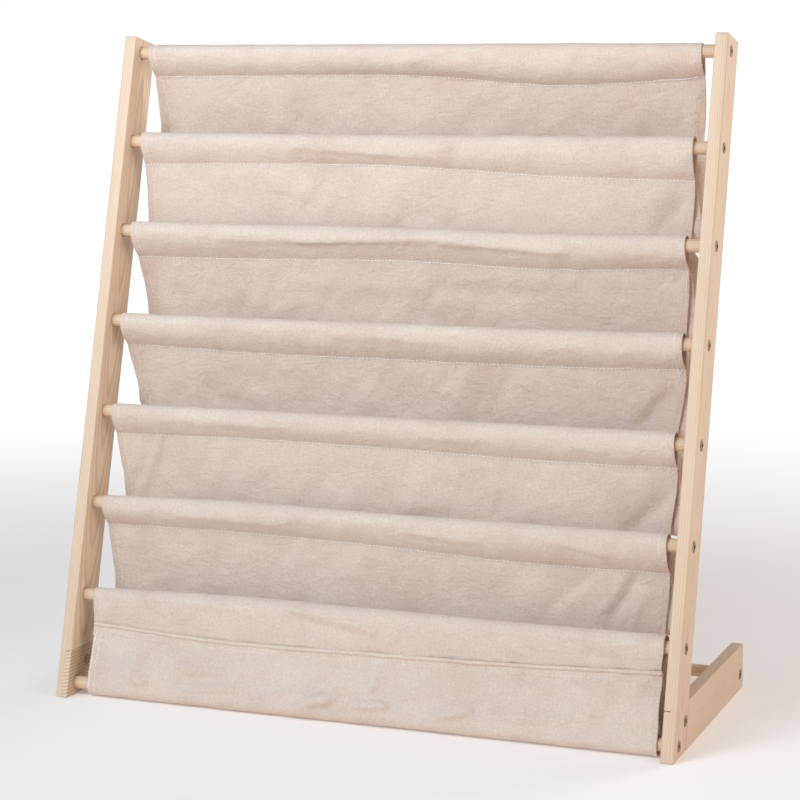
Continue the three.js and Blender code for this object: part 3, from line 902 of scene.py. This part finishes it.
def spread(values, share):
    """A smooth curve across the width, through values at even shares of it."""
    values = np.array(values)
    place = np.clip(share, 0, 1) * (len(values) - 1)
    low = np.clip(place.astype(int), 0, len(values) - 2)
    part = place - low
    slope = np.gradient(values)
    return (
        values[low] * (1 + 2 * part) * (1 - part) ** 2
        + slope[low] * part * (1 - part) ** 2
        + values[low + 1] * part**2 * (3 - 2 * part)
        + slope[low + 1] * part**2 * (part - 1)
    )


def soft_noise(x, y, seed):
    """Smooth noise between -1 and 1, with about one bump to every unit of x and of y."""
    lattice = np.random.default_rng(seed).uniform(-1, 1, (LATTICE, LATTICE))
    x, y = np.broadcast_arrays(x, y)
    column, row = np.floor(x).astype(int), np.floor(y).astype(int)
    across, along = smooth_step(x - column, 0, 1), smooth_step(y - row, 0, 1)
    low = lattice[column % LATTICE, row % LATTICE] * (1 - across)
    low = low + lattice[(column + 1) % LATTICE, row % LATTICE] * across
    high = lattice[column % LATTICE, (row + 1) % LATTICE] * (1 - across)
    high = high + lattice[(column + 1) % LATTICE, (row + 1) % LATTICE] * across
    return low * (1 - along) + high * along


def crease_line(x, drop, x0, drop0, x1, drop1, width, height):
    """A soft ridge between two places of a wall, given in millimetres."""
    x, drop = x / MM - x0, drop / MM - drop0
    reach = math.hypot(x1 - x0, drop1 - drop0)
    way = ((x1 - x0) / reach, (drop1 - drop0) / reach)
    along = x * way[0] + drop * way[1]
    aside = x * way[1] - drop * way[0]
    ends = smooth_step(along, -width, width) * (1 - smooth_step(along, reach - width, reach + width))
    return height * MM * ends * np.exp(-np.sqrt(aside**2 + (width / 7) ** 2) / width)


PITCH = (RODS[0] - RODS[1]).length
COVER = np.concatenate([
    np.array([0, 0.4, 1.2, 2.5, 4.5, HEM_STITCH / MM, 7.4, HEM_WIDTH / MM, 8.7, 10.5]) * MM,
    np.linspace(13 * MM, 0.275, round(0.262 / CLOTH_PITCH)),
])
COVER = np.concatenate([COVER, 2 * COVER[-1] - COVER[-2::-1]])
SHARE = COVER / COVER[-1]
HEM_COLUMN = int(np.argmin(abs(COVER - HEM_STITCH)))


def folds(tier, x, drop):
    """How far the creases of a wall, or of the apron, stand proud."""
    height = CREASE_STRENGTH * sum(crease_line(x, drop, *crease) for crease in CREASES.get(tier, []))
    return FOLD_LIMIT * np.tanh(height / FOLD_LIMIT) if tier > len(WALL_DEPTHS) else height


def edges(rod):
    return np.array([LEFT_GAPS[rod - 1] - INNER_FACE, INNER_FACE - RIGHT_GAPS[rod - 1]])


def columns(rod):
    """The x of every column of cloth where it passes over a rod."""
    left, right = edges(rod)
    return left + (right - left) * SHARE


def undulation(tier, x, drop):
    """How far the waves, creases and curled hems of a wall move it back."""
    slow = soft_noise(x / WAVE_WIDTH + 3.3 * tier, drop / WAVE_HEIGHT + 5.1 * tier, tier)
    fine = soft_noise((x + 0.6 * drop) / RUMPLE_WIDTH, (drop - 0.3 * x) / (1.6 * RUMPLE_WIDTH), 20 + tier)
    moved = (WAVE * slow + RUMPLE * fine) * smooth_step(drop, 6 * MM, 60 * MM)
    moved = moved - folds(tier, x, drop)
    reach = smooth_step(drop, 12 * MM, 0.85 * PITCH)
    reach = reach * (1 - smooth_step(drop, PITCH + 10 * MM, PITCH + 55 * MM))
    curls = HEM_CURLS[tier - 1] if tier <= len(HEM_CURLS) else ()
    for inward, (height, width) in zip((COVER, COVER[-1] - COVER), curls):
        moved = moved + reach * height * MM * np.clip(1 - inward / (width * MM), 0, 1)
    return moved


def crumpled(across, along, seed):
    """Creased cloth's own unevenness, in slanting streaks of a few sizes."""
    raised = 0
    for number, (width, height) in enumerate(CRUMPLES):
        u, v = (across + 0.5 * along) / (width * MM), (along - 0.4 * across) / (1.5 * width * MM)
        first = soft_noise(u, v, 100 + 10 * seed + number)
        second = soft_noise(v + 7.7, u + 3.1, 200 + 10 * seed + number)
        raised = raised + height * MM * (abs(first) + abs(second) - 0.7) * 1.4
    return raised


def seam_drop(rod):
    return spread(SEAM_DROPS[rod - 1], SHARE) * MM


def wall_back(tier, drop, x):
    """How far behind the plane of the rods a wall hangs, so far below its own rod."""
    if tier <= len(WALL_DEPTHS):
        quarter = np.minimum(drop / PITCH, 1) * math.pi / 2
        hung = WALL_DEPTHS[tier - 1] * np.sin(quarter)
    else:
        hung = LAST_SEAM_BACK + math.tan(LEAN) * np.maximum(drop - seam_drop(tier), 0)
    return hung + undulation(tier, x, drop)


def layer_place(rod, layers):
    """Where one layer of cloth passes a rod's seam. Layer 0 is the front one."""
    drop = seam_drop(rod)
    back = wall_back(rod, drop, columns(rod))
    reach = np.hypot(drop, back)
    return drop - layers * LAYER_STEP * back / reach, back + layers * LAYER_STEP * drop / reach


def bend(start, control, end, steps):
    """Rows of a curve whose two ends are both drawn to one control place."""
    rows = []
    for part in np.linspace(0, 1, steps):
        weights = ((1 - part) ** 3, 3 * (1 - part) ** 2 * part, 3 * (1 - part) * part**2, part**3)
        row = []
        for a, b, c in zip(start, control, end):
            drawn = (a, a + BEND_PULL * (b - a), c + BEND_PULL * (b - c), c)
            row.append(sum(weight * value for weight, value in zip(weights, drawn)))
        rows.append(tuple(row))
    return rows


def sleeve(rod, from_place, end_place):
    """The cloth's way over a rod, from a place behind it to the seam in front. Gives rows of
    (drop, back) for the loose ring over the rod and for the band in front of it."""
    lift = spread(SLEEVE_LIFTS[rod - 1], SHARE) * MM / 2
    slack = spread(SLEEVE_SLACKS[rod - 1], SHARE)
    radius = SLEEVE_RADIUS + lift

    def tangent(place):
        drop, back = place
        rise = -drop - lift
        return np.arctan2(rise, back), np.arccos(radius / np.hypot(rise, back))

    angle, opening = tangent(from_place)
    start = angle + opening
    angle, opening = tangent(end_place)
    taut = angle - opening + 2 * math.pi
    end = taut + (math.pi + LEAN - taut) * smooth_step(slack, 0, 0.5)
    ring = []
    for part in np.linspace(0, 1, OVER_ROWS):
        turn = start + (end - start) * part
        ring.append((-lift - radius * np.sin(turn), radius * np.cos(turn)))
    drop, back = ring[-1]
    reach = np.hypot(end_place[0] - drop, end_place[1] - back) * (0.25 + 0.35 * slack)
    control = (drop - np.cos(end) * reach, back - np.sin(end) * reach)
    return ring, bend(ring[-1], control, end_place, BAND_ROWS)[1:]


def between(start, end, count):
    """Even rows of (drop, back) from a start up to, not including, an end."""
    return [tuple(a + (b - a) * part for a, b in zip(start, end)) for part in np.linspace(0, 1, count)[:-1]]


def sling_rows(sling):
    """The middle of a sling's cloth: drop, back, x and droop of every row, and for each sleeve its
    rod, its first row and the row after its last."""
    last = sling == len(WALL_DEPTHS)
    top, low = columns(sling), columns(sling + 1)
    drawn_left, drawn_right = WALL_NARROWING[sling - 1]
    narrowing = (drawn_left * (1 - SHARE) - drawn_right * SHARE) * MM
    straight = POCKET_DEPTH - FOLD_RADIUS
    fold_front = wall_back(sling + 1, straight, low) + NEST_GAP
    fold_back = max(np.mean(fold_front) + 2 * FOLD_RADIUS, WALL_DEPTHS[sling - 1])

    start, seam = layer_place(sling, 1), layer_place(sling, 0)
    ring, band = sleeve(sling, start, seam)
    rows = []

    def lay(drop, back, across, sag):
        rows.append((drop + 0 * SHARE, back + 0 * SHARE, across, sag))

    for drop, back in between(start, ring[0], BEHIND_ROWS) + ring + band:
        lay(drop, back, top, 0)
    seam_row = len(rows) - 1
    bands = [(sling, len(rows) - len(ring + band), len(rows))]

    hung = top + narrowing
    loose_low = hung + (low + POCKET_SPREAD - hung) * SHARE
    let_out = (PITCH - LET_OUT, PITCH + LET_OUT)
    for part in np.linspace(0, 1, WALL_ROWS)[1:]:
        drop = seam[0] + (PITCH - seam[0]) * part
        across = top + narrowing * smooth_step(drop, seam[0], PITCH - 8 * MM)
        across = across + (loose_low - across) * smooth_step(drop, *let_out)
        lay(drop, wall_back(sling, drop, across), across, WALL_DROOP * part)
    for part in np.linspace(0, 1, POCKET_ROWS)[1:]:
        drop = PITCH + straight * part
        lean = (fold_back - WALL_DEPTHS[sling - 1]) * part
        across = hung + (loose_low - hung) * smooth_step(drop, *let_out)
        lay(drop, wall_back(sling, drop, across) + lean, across, WALL_DROOP + (1 - WALL_DROOP) * part)
    rear = rows[-1][1]
    middle_back, half = (rear + fold_front) / 2, (rear - fold_front) / 2
    for part in np.linspace(0, 1, FOLD_ROWS)[1:-1]:
        turn = math.pi * part
        drop = PITCH + straight + FOLD_RADIUS * math.sin(turn)
        lay(drop, middle_back + half * math.cos(turn), loose_low, 1)
    next_seam = layer_place(sling + 1, 2)
    clear = next_seam[1] - wall_back(sling + 1, next_seam[0], low)
    for part in np.linspace(1, LAST_REACH if last else 0, FRONT_ROWS):
        drop = next_seam[0] + (straight - next_seam[0]) * part
        gap = clear + (NEST_GAP - clear) * smooth_step(part, 0, 0.5)
        lay(PITCH + drop, wall_back(sling + 1, drop, low) + gap, low + (loose_low - low) * part, part)
    loose = np.arange(seam_row + 3, len(rows) - 2)
    if last:
        behind = (rows[-1][0] - PITCH, rows[-1][1])
        ring, band = sleeve(sling + 1, behind, layer_place(sling + 1, 0))
        for drop, back in between(behind, ring[0], LAST_ROWS)[1:] + ring + band:
            flare = LAST_SLEEVE_FLARE * SHARE**4 * (1 - smooth_step(drop, 0, 22 * MM))
            lay(PITCH + drop, back, low + flare, 0)
        bands.append((sling + 1, len(rows) - len(ring + band), len(rows)))
    drops, backs, side, droop = (np.array(values) for values in zip(*rows))
    for _ in range(EVENING_ROUNDS):
        for grid in (drops, backs):
            grid[loose] = ((grid[:-2] + 2 * grid[1:-1] + grid[2:]) / 4)[loose - 1]
    return drops, backs, side, droop, bands


def placed(rod, drops, backs, side, droop):
    """Turns rows of the side view into points of the shelf."""
    centre = RODS[rod - 1]
    y = centre.y - drops * UP_POST.y + backs * TO_REAR.y
    z = centre.z - drops * UP_POST.z + backs * TO_REAR.z
    sag = FOLD_DROOP * (1 - (2 * SHARE - 1) ** 2)
    return np.stack([side, y, z - sag * droop[:, None]], axis=-1)


def unit(vectors):
    return vectors / np.maximum(np.linalg.norm(vectors, axis=-1, keepdims=True), 1e-9)


def outward(points):
    """The unit normals of a grid of points, towards the side that shows at the front."""
    return unit(np.cross(np.gradient(points, axis=0), np.gradient(points, axis=1)))


def run_lengths(points):
    steps = np.linalg.norm(np.diff(points, axis=0), axis=-1)
    return np.concatenate([np.zeros((1, points.shape[1])), np.cumsum(steps, axis=0)])


def make_sheet(name, points, front, rear, shift):
    """A closed cloth with rounded edges. front and rear are how far each face lies from the
    middle, and shift moves its weave pattern on from that of the other pieces."""
    normal = outward(points)
    rows, cols = points.shape[:2]
    length = run_lengths(points)
    chart = np.stack([points[..., 0] + shift, length + 0.37 * shift], axis=-1)
    number = np.arange(rows * cols).reshape(rows, cols)
    around = np.concatenate([number[0, :-1], number[:-1, -1], number[-1, :0:-1], number[:0:-1, 0]])
    flat = points.reshape(-1, 3)
    half = (front + rear) / 2
    faces = [points + normal * front[..., None], points - normal * rear[..., None]]
    away = np.zeros_like(points)
    away[0], away[-1] = points[0] - points[1], points[-1] - points[-2]
    away[:, 0] += points[:, 0] - points[:, 1]
    away[:, -1] += points[:, -1] - points[:, -2]
    away = unit(away.reshape(-1, 3)[around])
    centre = (faces[0] + faces[1]).reshape(-1, 3)[around] / 2
    rim = centre + away * half.reshape(-1)[around][:, None]
    places = np.concatenate([faces[0].reshape(-1, 3), faces[1].reshape(-1, 3), rim])
    charts = np.concatenate([chart.reshape(-1, 2), chart.reshape(-1, 2), chart.reshape(-1, 2)[around]])
    a, b = number[:-1, :-1].ravel(), number[1:, :-1].ravel()
    c, d = number[1:, 1:].ravel(), number[:-1, 1:].ravel()
    face_front = np.stack([a, b, c, d], axis=-1)
    face_rear = np.stack([a, d, c, b], axis=-1) + len(flat)
    ring = np.arange(len(around)) + 2 * len(flat)
    following = np.roll(ring, -1)
    near, nearer = around, np.roll(around, -1)
    far, farther = around + len(flat), np.roll(around, -1) + len(flat)
    rim_front = np.stack([near, nearer, following, ring], axis=-1)
    rim_rear = np.stack([ring, following, farther, far], axis=-1)
    polygons = np.concatenate([face_front, face_rear, rim_front, rim_rear])
    return build_mesh(name, places, polygons, charts)


def build_mesh(name, places, polygons, charts=None):
    mesh = bpy.data.meshes.new(name)
    mesh.from_pydata(places.tolist(), [], polygons.tolist())
    mesh.polygons.foreach_set("use_smooth", np.ones(len(polygons), dtype=bool))
    if charts is not None:
        layer = mesh.uv_layers.new(name="cut")
        layer.uv.foreach_set("vector", charts[polygons.ravel()].ravel())
    mesh.update()
    piece = bpy.data.objects.new(name, mesh)
    bpy.context.collection.objects.link(piece)
    return piece


def read_along(marks, reach, values):
    """A line's values at marks along it, where reach is how far along each of its points lies."""
    return np.stack([np.interp(marks, reach, values[:, axis]) for axis in range(3)], axis=-1)


def thread_ring(centre, up, aside, radius):
    """The corners round each of a row's stitches at one place along it."""
    turns = [2 * math.pi * side / THREAD_SIDES for side in range(THREAD_SIDES)]
    return [centre + (up * math.sin(turn) + aside * math.cos(turn)) * radius for turn in turns]


def stitch_row(line, normals, thickness, across=0):
    """The corners of one row of stitches that lies on a surface along a line, or across it in part."""
    reach = run_lengths(line[:, None])[:, 0]
    marks = np.arange(STITCH_PITCH / 2, reach[-1], STITCH_PITCH)
    at = read_along(marks, reach, line)
    way = unit(read_along(marks + STITCH_PITCH / 4, reach, line) - at)
    up = unit(read_along(marks, reach, normals))
    aside = np.cross(way, up)
    way, aside = way * (1 - across) + aside * across, aside * (1 - across) - way * across
    rings = []
    for along, height, radius in ((-0.5, -0.5, 0.6), (-0.3, 0.5, 1), (0.3, 0.5, 1), (0.5, -0.5, 0.6)):
        centre = at + way * along * STITCH_LENGTH + up * height * thickness
        rings += thread_ring(centre, up, aside, radius * thickness)
    return np.stack(rings, axis=1)


def loose_end(points, normal, path):
    """A loose end of thread on the cloth. Its path is (row, column, lift in millimetres) and it is
    drawn as a chain of long stitches."""
    lifts = [CLOTH / 2 + lift * MM for _, _, lift in path]
    line = np.array([points[row, col] + normal[row, col] * lift for (row, col, _), lift in zip(path, lifts)])
    for _ in range(3):
        near, far = 0.75 * line[:-1] + 0.25 * line[1:], 0.25 * line[:-1] + 0.75 * line[1:]
        line = np.concatenate([line[:1], np.stack([near, far], axis=1).reshape(-1, 3), line[-1:]])
    way = unit(line[1:] - line[:-1])
    aside = unit(np.cross(way, normal[path[0][0], path[0][1]]))
    up = np.cross(aside, way)
    rings = []
    for part in (-0.1, 0.3, 0.7, 1.1):
        centre = line[:-1] + (line[1:] - line[:-1]) * part
        rings += thread_ring(centre, up, aside, LOOSE_THREAD_RADIUS)
    return np.stack(rings, axis=1)


def make_stitches(name, rows):
    """One mesh of all the stitches of a piece of cloth."""
    corners = np.concatenate(rows)
    count, each = corners.shape[:2]
    faces = []
    for ring in range(3):
        for side in range(THREAD_SIDES):
            low, high = ring * THREAD_SIDES, (ring + 1) * THREAD_SIDES
            following = (side + 1) % THREAD_SIDES
            faces.append((low + side, low + following, high + following, high + side))
    last_ring = each - THREAD_SIDES
    for order in ((3, 2, 1, 0), (5, 4, 3, 0)):
        faces.append(order)
    for order in ((0, 1, 2, 3), (0, 3, 4, 5)):
        faces.append(tuple(last_ring + number for number in order))
    faces = np.array(faces)[None] + (np.arange(count) * each)[:, None, None]
    return build_mesh(name, corners.reshape(-1, 3), faces.reshape(-1, 4))


def dress(name, points, front, rear, stitch_lines, shift, node):
    sheet = finish_piece(make_sheet(name, points, front, rear, shift), fabric, "canvas", node)
    seams = finish_piece(make_stitches(f"{name}_stitches", stitch_lines), cotton, "canvas")


def faced_line(points, normal, offset, row=None, column=None, thickness=THREAD_RADIUS, across=0):
    """A row or a column of the grid, moved out to a face of the cloth, with its normals there."""
    pick_line = (lambda grid: grid[row]) if column is None else (lambda grid: grid[:, column])
    side = pick_line(normal) * np.sign(offset)
    return stitch_row(pick_line(points) + side * abs(offset), side, thickness, across)


def hems(points, normal):
    """How far the cloth's front and rear faces lie from its middle, and the stitches of its hems."""
    inward = np.minimum(COVER, COVER[-1] - COVER)
    share = np.broadcast_to(1 - smooth_step(inward, HEM_WIDTH, HEM_WIDTH + 0.7 * MM), points.shape[:2])
    lines = []
    for column in (HEM_COLUMN, -1 - HEM_COLUMN):
        for face in (HEM_FRONT, -HEM_REAR):
            lines.append(faced_line(points, normal, face, column=column, thickness=HEM_THREAD_RADIUS))
    return CLOTH / 2 + (HEM_FRONT - CLOTH / 2) * share, CLOTH / 2 + (HEM_REAR - CLOTH / 2) * share, lines


def make_sling(sling):
    drops, backs, side, droop, bands = sling_rows(sling)
    wave = EDGE_WAVE * soft_noise(np.arange(len(drops))[:, None] / 9, np.array([[0.5, 7.5]]), 60 + sling)
    side = side + wave[:, :1] * (1 - SHARE) ** 8 + wave[:, 1:] * SHARE**8
    points = placed(sling, drops, backs, side, droop)
    normal = outward(points)
    pucker = soft_noise(side / PUCKER_WIDTH, drops / (2.5 * PUCKER_WIDTH), 80 + sling)
    near_seam = np.exp(-(((drops - seam_drop(sling)) / SEAM_REACH) ** 2)) * (droop[:, None] < PUCKER_DROOP)
    raised = PUCKER * pucker * near_seam
    calm = SEAM_CALM * near_seam
    for rod, first, last in bands:
        below = drops[first:last] - (rod - sling) * PITCH
        calm[first:last] = np.maximum(calm[first:last], TOP_CALM * (1 - smooth_step(below, *TOP_REACH)))
    raised = raised + crumpled(side, run_lengths(points), sling) * (FREE_CRUMPLE - calm)
    for rod, first, last in bands:
        rows = slice(first, last)
        below = drops[rows] - (rod - sling) * PITCH
        in_front = smooth_step(-backs[rows] + LAYER_STEP, 0, ROD_RADIUS)
        for crease in BAND_CREASES.get(rod, []):
            raised[rows] += in_front * CREASE_STRENGTH * crease_line(side[rows], below, *crease)
    points = points + normal * raised[..., None]
    normal = outward(points)
    front, rear, hem_lines = hems(points, normal)
    lines = [faced_line(points, normal, CLOTH / 2, row=last - 1) for _, _, last in bands] + hem_lines
    lines += [loose_end(points, normal, path) for path in LOOSE_ENDS.get(sling, [])]
    shift = WEAVE_SHIFT * sling
    dress(f"sling_{sling}_canvas", points, front, rear, lines, shift, f"sling_{sling}")


def apron_rows():
    """The apron's rows of (drop, back) from rod 7: its top hem on the sleeve's band, the straight
    front, the loop round rod 8 and the short way up to the hem behind it."""
    rod = len(RODS) - 1
    lower = RODS[rod - 1] - RODS[rod]
    behind = layer_place(rod, 1)
    _, band = sleeve(rod, (behind[0] + PITCH / 2, behind[1]), layer_place(rod, 0))
    way = np.array(band[-1]) - np.array(band[-3])
    way /= np.hypot(*way)
    forward = np.array([way[1], -way[0]])
    seam = np.array(layer_place(rod, 0)) + forward * LAYER_STEP
    top = seam - way * APRON_LAP - forward * (LAYER_STEP - CLOTH - SEAT_GAP / 4)
    centre = np.array([lower.length + APRON_SAG * UP_POST.z, APRON_SAG * UP_POST.y])[:, None]
    radius = SLEEVE_RADIUS + APRON_SLACK

    def tangent(place, side):
        drop, back = place - centre
        return np.arctan2(back, drop) + side * np.arccos(radius / np.hypot(drop, back))

    start = np.mod(tangent(seam, 1), 2 * math.pi)
    foot_place = centre + radius * np.array([np.cos(start), np.sin(start)])
    rows = [top + (seam - top) * part for part in np.linspace(0, 1, LAP_ROWS)[:-1]]
    for part in np.concatenate([np.linspace(*shares) for shares in APRON_ROWS])[:-1]:
        place = seam + (foot_place - seam) * part
        swing = smooth_step(part, 0, 0.3) * (1 - smooth_step(part, 0.75, 1))
        hollow = APRON_HOLLOW * np.exp(-(((part - HOLLOW_PLACE) / HOLLOW_WIDTH) ** 2))
        rows.append(place + np.array([[0], [1]]) * (swing * undulation(rod, columns(rod), place[0]) + hollow))
    rise = centre[0] - APRON_SEAM_RISE
    part = (rise - seam[0]) / (foot_place[0] - seam[0])
    finish = seam + (foot_place - seam) * part + np.array([[0], [1]]) * LAYER_STEP
    end = np.mod(tangent(finish, -1), 2 * math.pi) + 2 * math.pi
    for part in np.linspace(0, 1, LOOP_ROWS):
        turn = start + (end - start) * part
        rows.append(centre + radius * np.array([np.cos(turn), np.sin(turn)]))
    climb = rows[-1]
    rows += [climb + (finish - climb) * part for part in np.linspace(0, 1, END_ROWS)[1:]]
    grid = np.array(rows)
    return grid[:, 0], grid[:, 1]


def make_apron():
    rod = len(RODS) - 1
    drops, backs = apron_rows()
    low = (RODS[rod - 1] - RODS[rod]).length
    share = np.clip(drops.mean(axis=1, keepdims=True) / low, 0, 1)
    side = columns(rod) + (columns(rod + 1) - columns(rod)) * share
    points = placed(rod, drops, backs, side, 0 * share[:, 0])
    normal = outward(points)
    run = run_lengths(points)
    top_hem = 1 - smooth_step(run, TOP_HEM_WIDTH, TOP_HEM_WIDTH + MM)
    ridge = np.exp(-(((run - RIDGE_PLACE) / RIDGE_WIDTH) ** 2))
    pucker = soft_noise(side / PUCKER_WIDTH, drops / (2.5 * PUCKER_WIDTH), 90)
    raised = APRON_PUCKER * PUCKER * pucker * np.exp(-((run / TOP_HEM_REACH) ** 2))
    zones = (LOOP_CALM_ZONE, LOOP_FOLD_ZONE)
    calm, on_loop = (smooth_step(drops, low - start, low - end) for start, end in zones)
    crumples = crumpled(side, run, rod) * smooth_step(run, 0, TOP_HEM_REACH) * (1 - LOOP_CALM * calm)
    on_loop = on_loop * smooth_step(-backs, 0, 5 * MM)
    raised = raised + APRON_CRUMPLE * crumples + on_loop * folds(rod, side, drops)
    points = points + normal * np.maximum(raised, -APRON_SLACK / 3)[..., None]
    normal = outward(points)
    front, rear, hem_lines = hems(points, normal)
    front = front + TOP_HEM_EXTRA * top_hem + RIDGE_HEIGHT * ridge
    hem_row = int(np.argmin(abs(run.mean(axis=1) - TOP_HEM_WIDTH + 1.2 * MM)))
    lines = [faced_line(points, normal, CLOTH / 2 + TOP_HEM_EXTRA, row=hem_row, thickness=TOP_HEM_THREAD)]
    lines += hem_lines
    for column, slant in ((2, -WHIP_SLANT), (-3, WHIP_SLANT)):
        lines.append(faced_line(points, normal, HEM_FRONT, None, column, WHIP_THREAD, slant))
    dress("front_apron_canvas", points, front, rear, lines, WEAVE_SHIFT * (rod + 1), "front_apron")


for sling in range(1, len(WALL_DEPTHS) + 1):
    make_sling(sling)
make_apron()

# Camera, light and floor


def placed_object(name, data, place, target=None):
    """Adds an object at a place. With a target it looks there, as a lamp does."""
    piece = bpy.data.objects.new(name, data)
    bpy.context.collection.objects.link(piece)
    piece.location = place
    if target is not None:
        piece.rotation_euler = (Vector(target) - Vector(place)).to_track_quat("-Z", "Y").to_euler()
    return piece


def make_camera():
    data = bpy.data.cameras.new("camera")
    data.sensor_width = SENSOR
    data.lens = FOCAL_PIXELS / PICTURE * SENSOR
    data.shift_x = (PICTURE / 2 - MIDDLE_PIXEL[0]) / PICTURE
    data.shift_y = (MIDDLE_PIXEL[1] - PICTURE / 2) / PICTURE
    turn = (
        Matrix.Rotation(CAMERA_AZIMUTH, 3, "Z")
        @ Matrix.Rotation(math.pi / 2 - CAMERA_ELEVATION, 3, "X")
        @ Matrix.Rotation(CAMERA_ROLL, 3, "Z")
    )
    aim = Vector((0, RODS[7].y, AIM_HEIGHT))
    place = aim + turn @ Vector((AIM_ASIDE, AIM_UP, CAMERA_DISTANCE))
    camera = placed_object("camera", data, place)
    camera.matrix_world = Matrix.Translation(place) @ turn.to_4x4()
    bpy.context.scene.camera = camera


def make_sun(name, place, strength, spread_angle, colour):
    """A wide, distant light that shines from a place towards the shelf."""
    data = bpy.data.lights.new(name, "SUN")
    data.energy = strength
    data.angle = spread_angle
    data.color = colour
    placed_object(name, data, place, (0, 0, 0))


def make_lamp(name, place, target, size, power, colour):
    data = bpy.data.lights.new(name, "AREA")
    data.shape = "DISK"
    data.size = size
    data.energy = power
    data.color = colour
    placed_object(name, data, place, target).visible_camera = False


def make_world():
    """An even room, brightest near the horizon as a lit backdrop is."""
    world = bpy.data.worlds.new("studio")
    bpy.context.scene.world = world
    world.use_nodes = True
    tree = Tree(world.node_tree)
    height = tree.add("SeparateXYZ")
    tree.wire(tree.add("TexCoord"), "Generated", height, "Vector")
    stops = list(zip(ROOM_STOPS, (WHITE, ROOM_COLOUR, ROOM_COLOUR, ZENITH_COLOUR)))
    background = tree.nodes["Background"]
    tree.wire(tree.ramp(height, "Z", stops), "Color", background, "Color")
    background.inputs["Strength"].default_value = 1.0


def make_floor():
    """A pale floor whose tone gives way to a glow with the distance from the shelf."""
    bpy.ops.mesh.primitive_plane_add(size=FLOOR_SIZE, location=(0, 0, -FLOOR_DROP))
    floor = newest("floor")
    values = {"Emission Strength": 1.0, "Specular IOR Level": 0.1}
    material, tree, shader = start_material("studio_floor", 0.85, values)
    coordinates = tree.add("TexCoord")
    near, far = FLOOR_BLEND
    distance = tree.add("VectorMath", operation="LENGTH")
    tree.wire(tree.mapped(coordinates, "Object", (1 / far, 1 / far, 1)), "Vector", distance, 0)
    grain = tree.noise(tree.mapped(coordinates, "Object"), 3.0, 2.0)
    tone = tree.ramp(grain, "Fac", list(zip((0.3, 0.7), FLOOR_TONES)))
    lit = tree.ramp(distance, "Value", [(near / far, WHITE), (1.0, BLACK)])
    glow = tree.ramp(distance, "Value", [(near / far, (FLOOR_GLOW,) * 3), (1.0, WHITE)])
    for band in (lit, glow):
        band.color_ramp.interpolation = "EASE"
    tree.paint(shader, tone, (1.0, lit))
    tree.wire(glow, "Color", shader, "Emission Color")
    floor.data.materials.append(material)


make_camera()
make_floor()
bpy.context.scene.view_settings.view_transform = "Standard"
make_world()
make_sun("key", *KEY_SUN, COOL_LIGHT)
for name, lamp in LAMPS.items():
    make_lamp(name, *lamp)
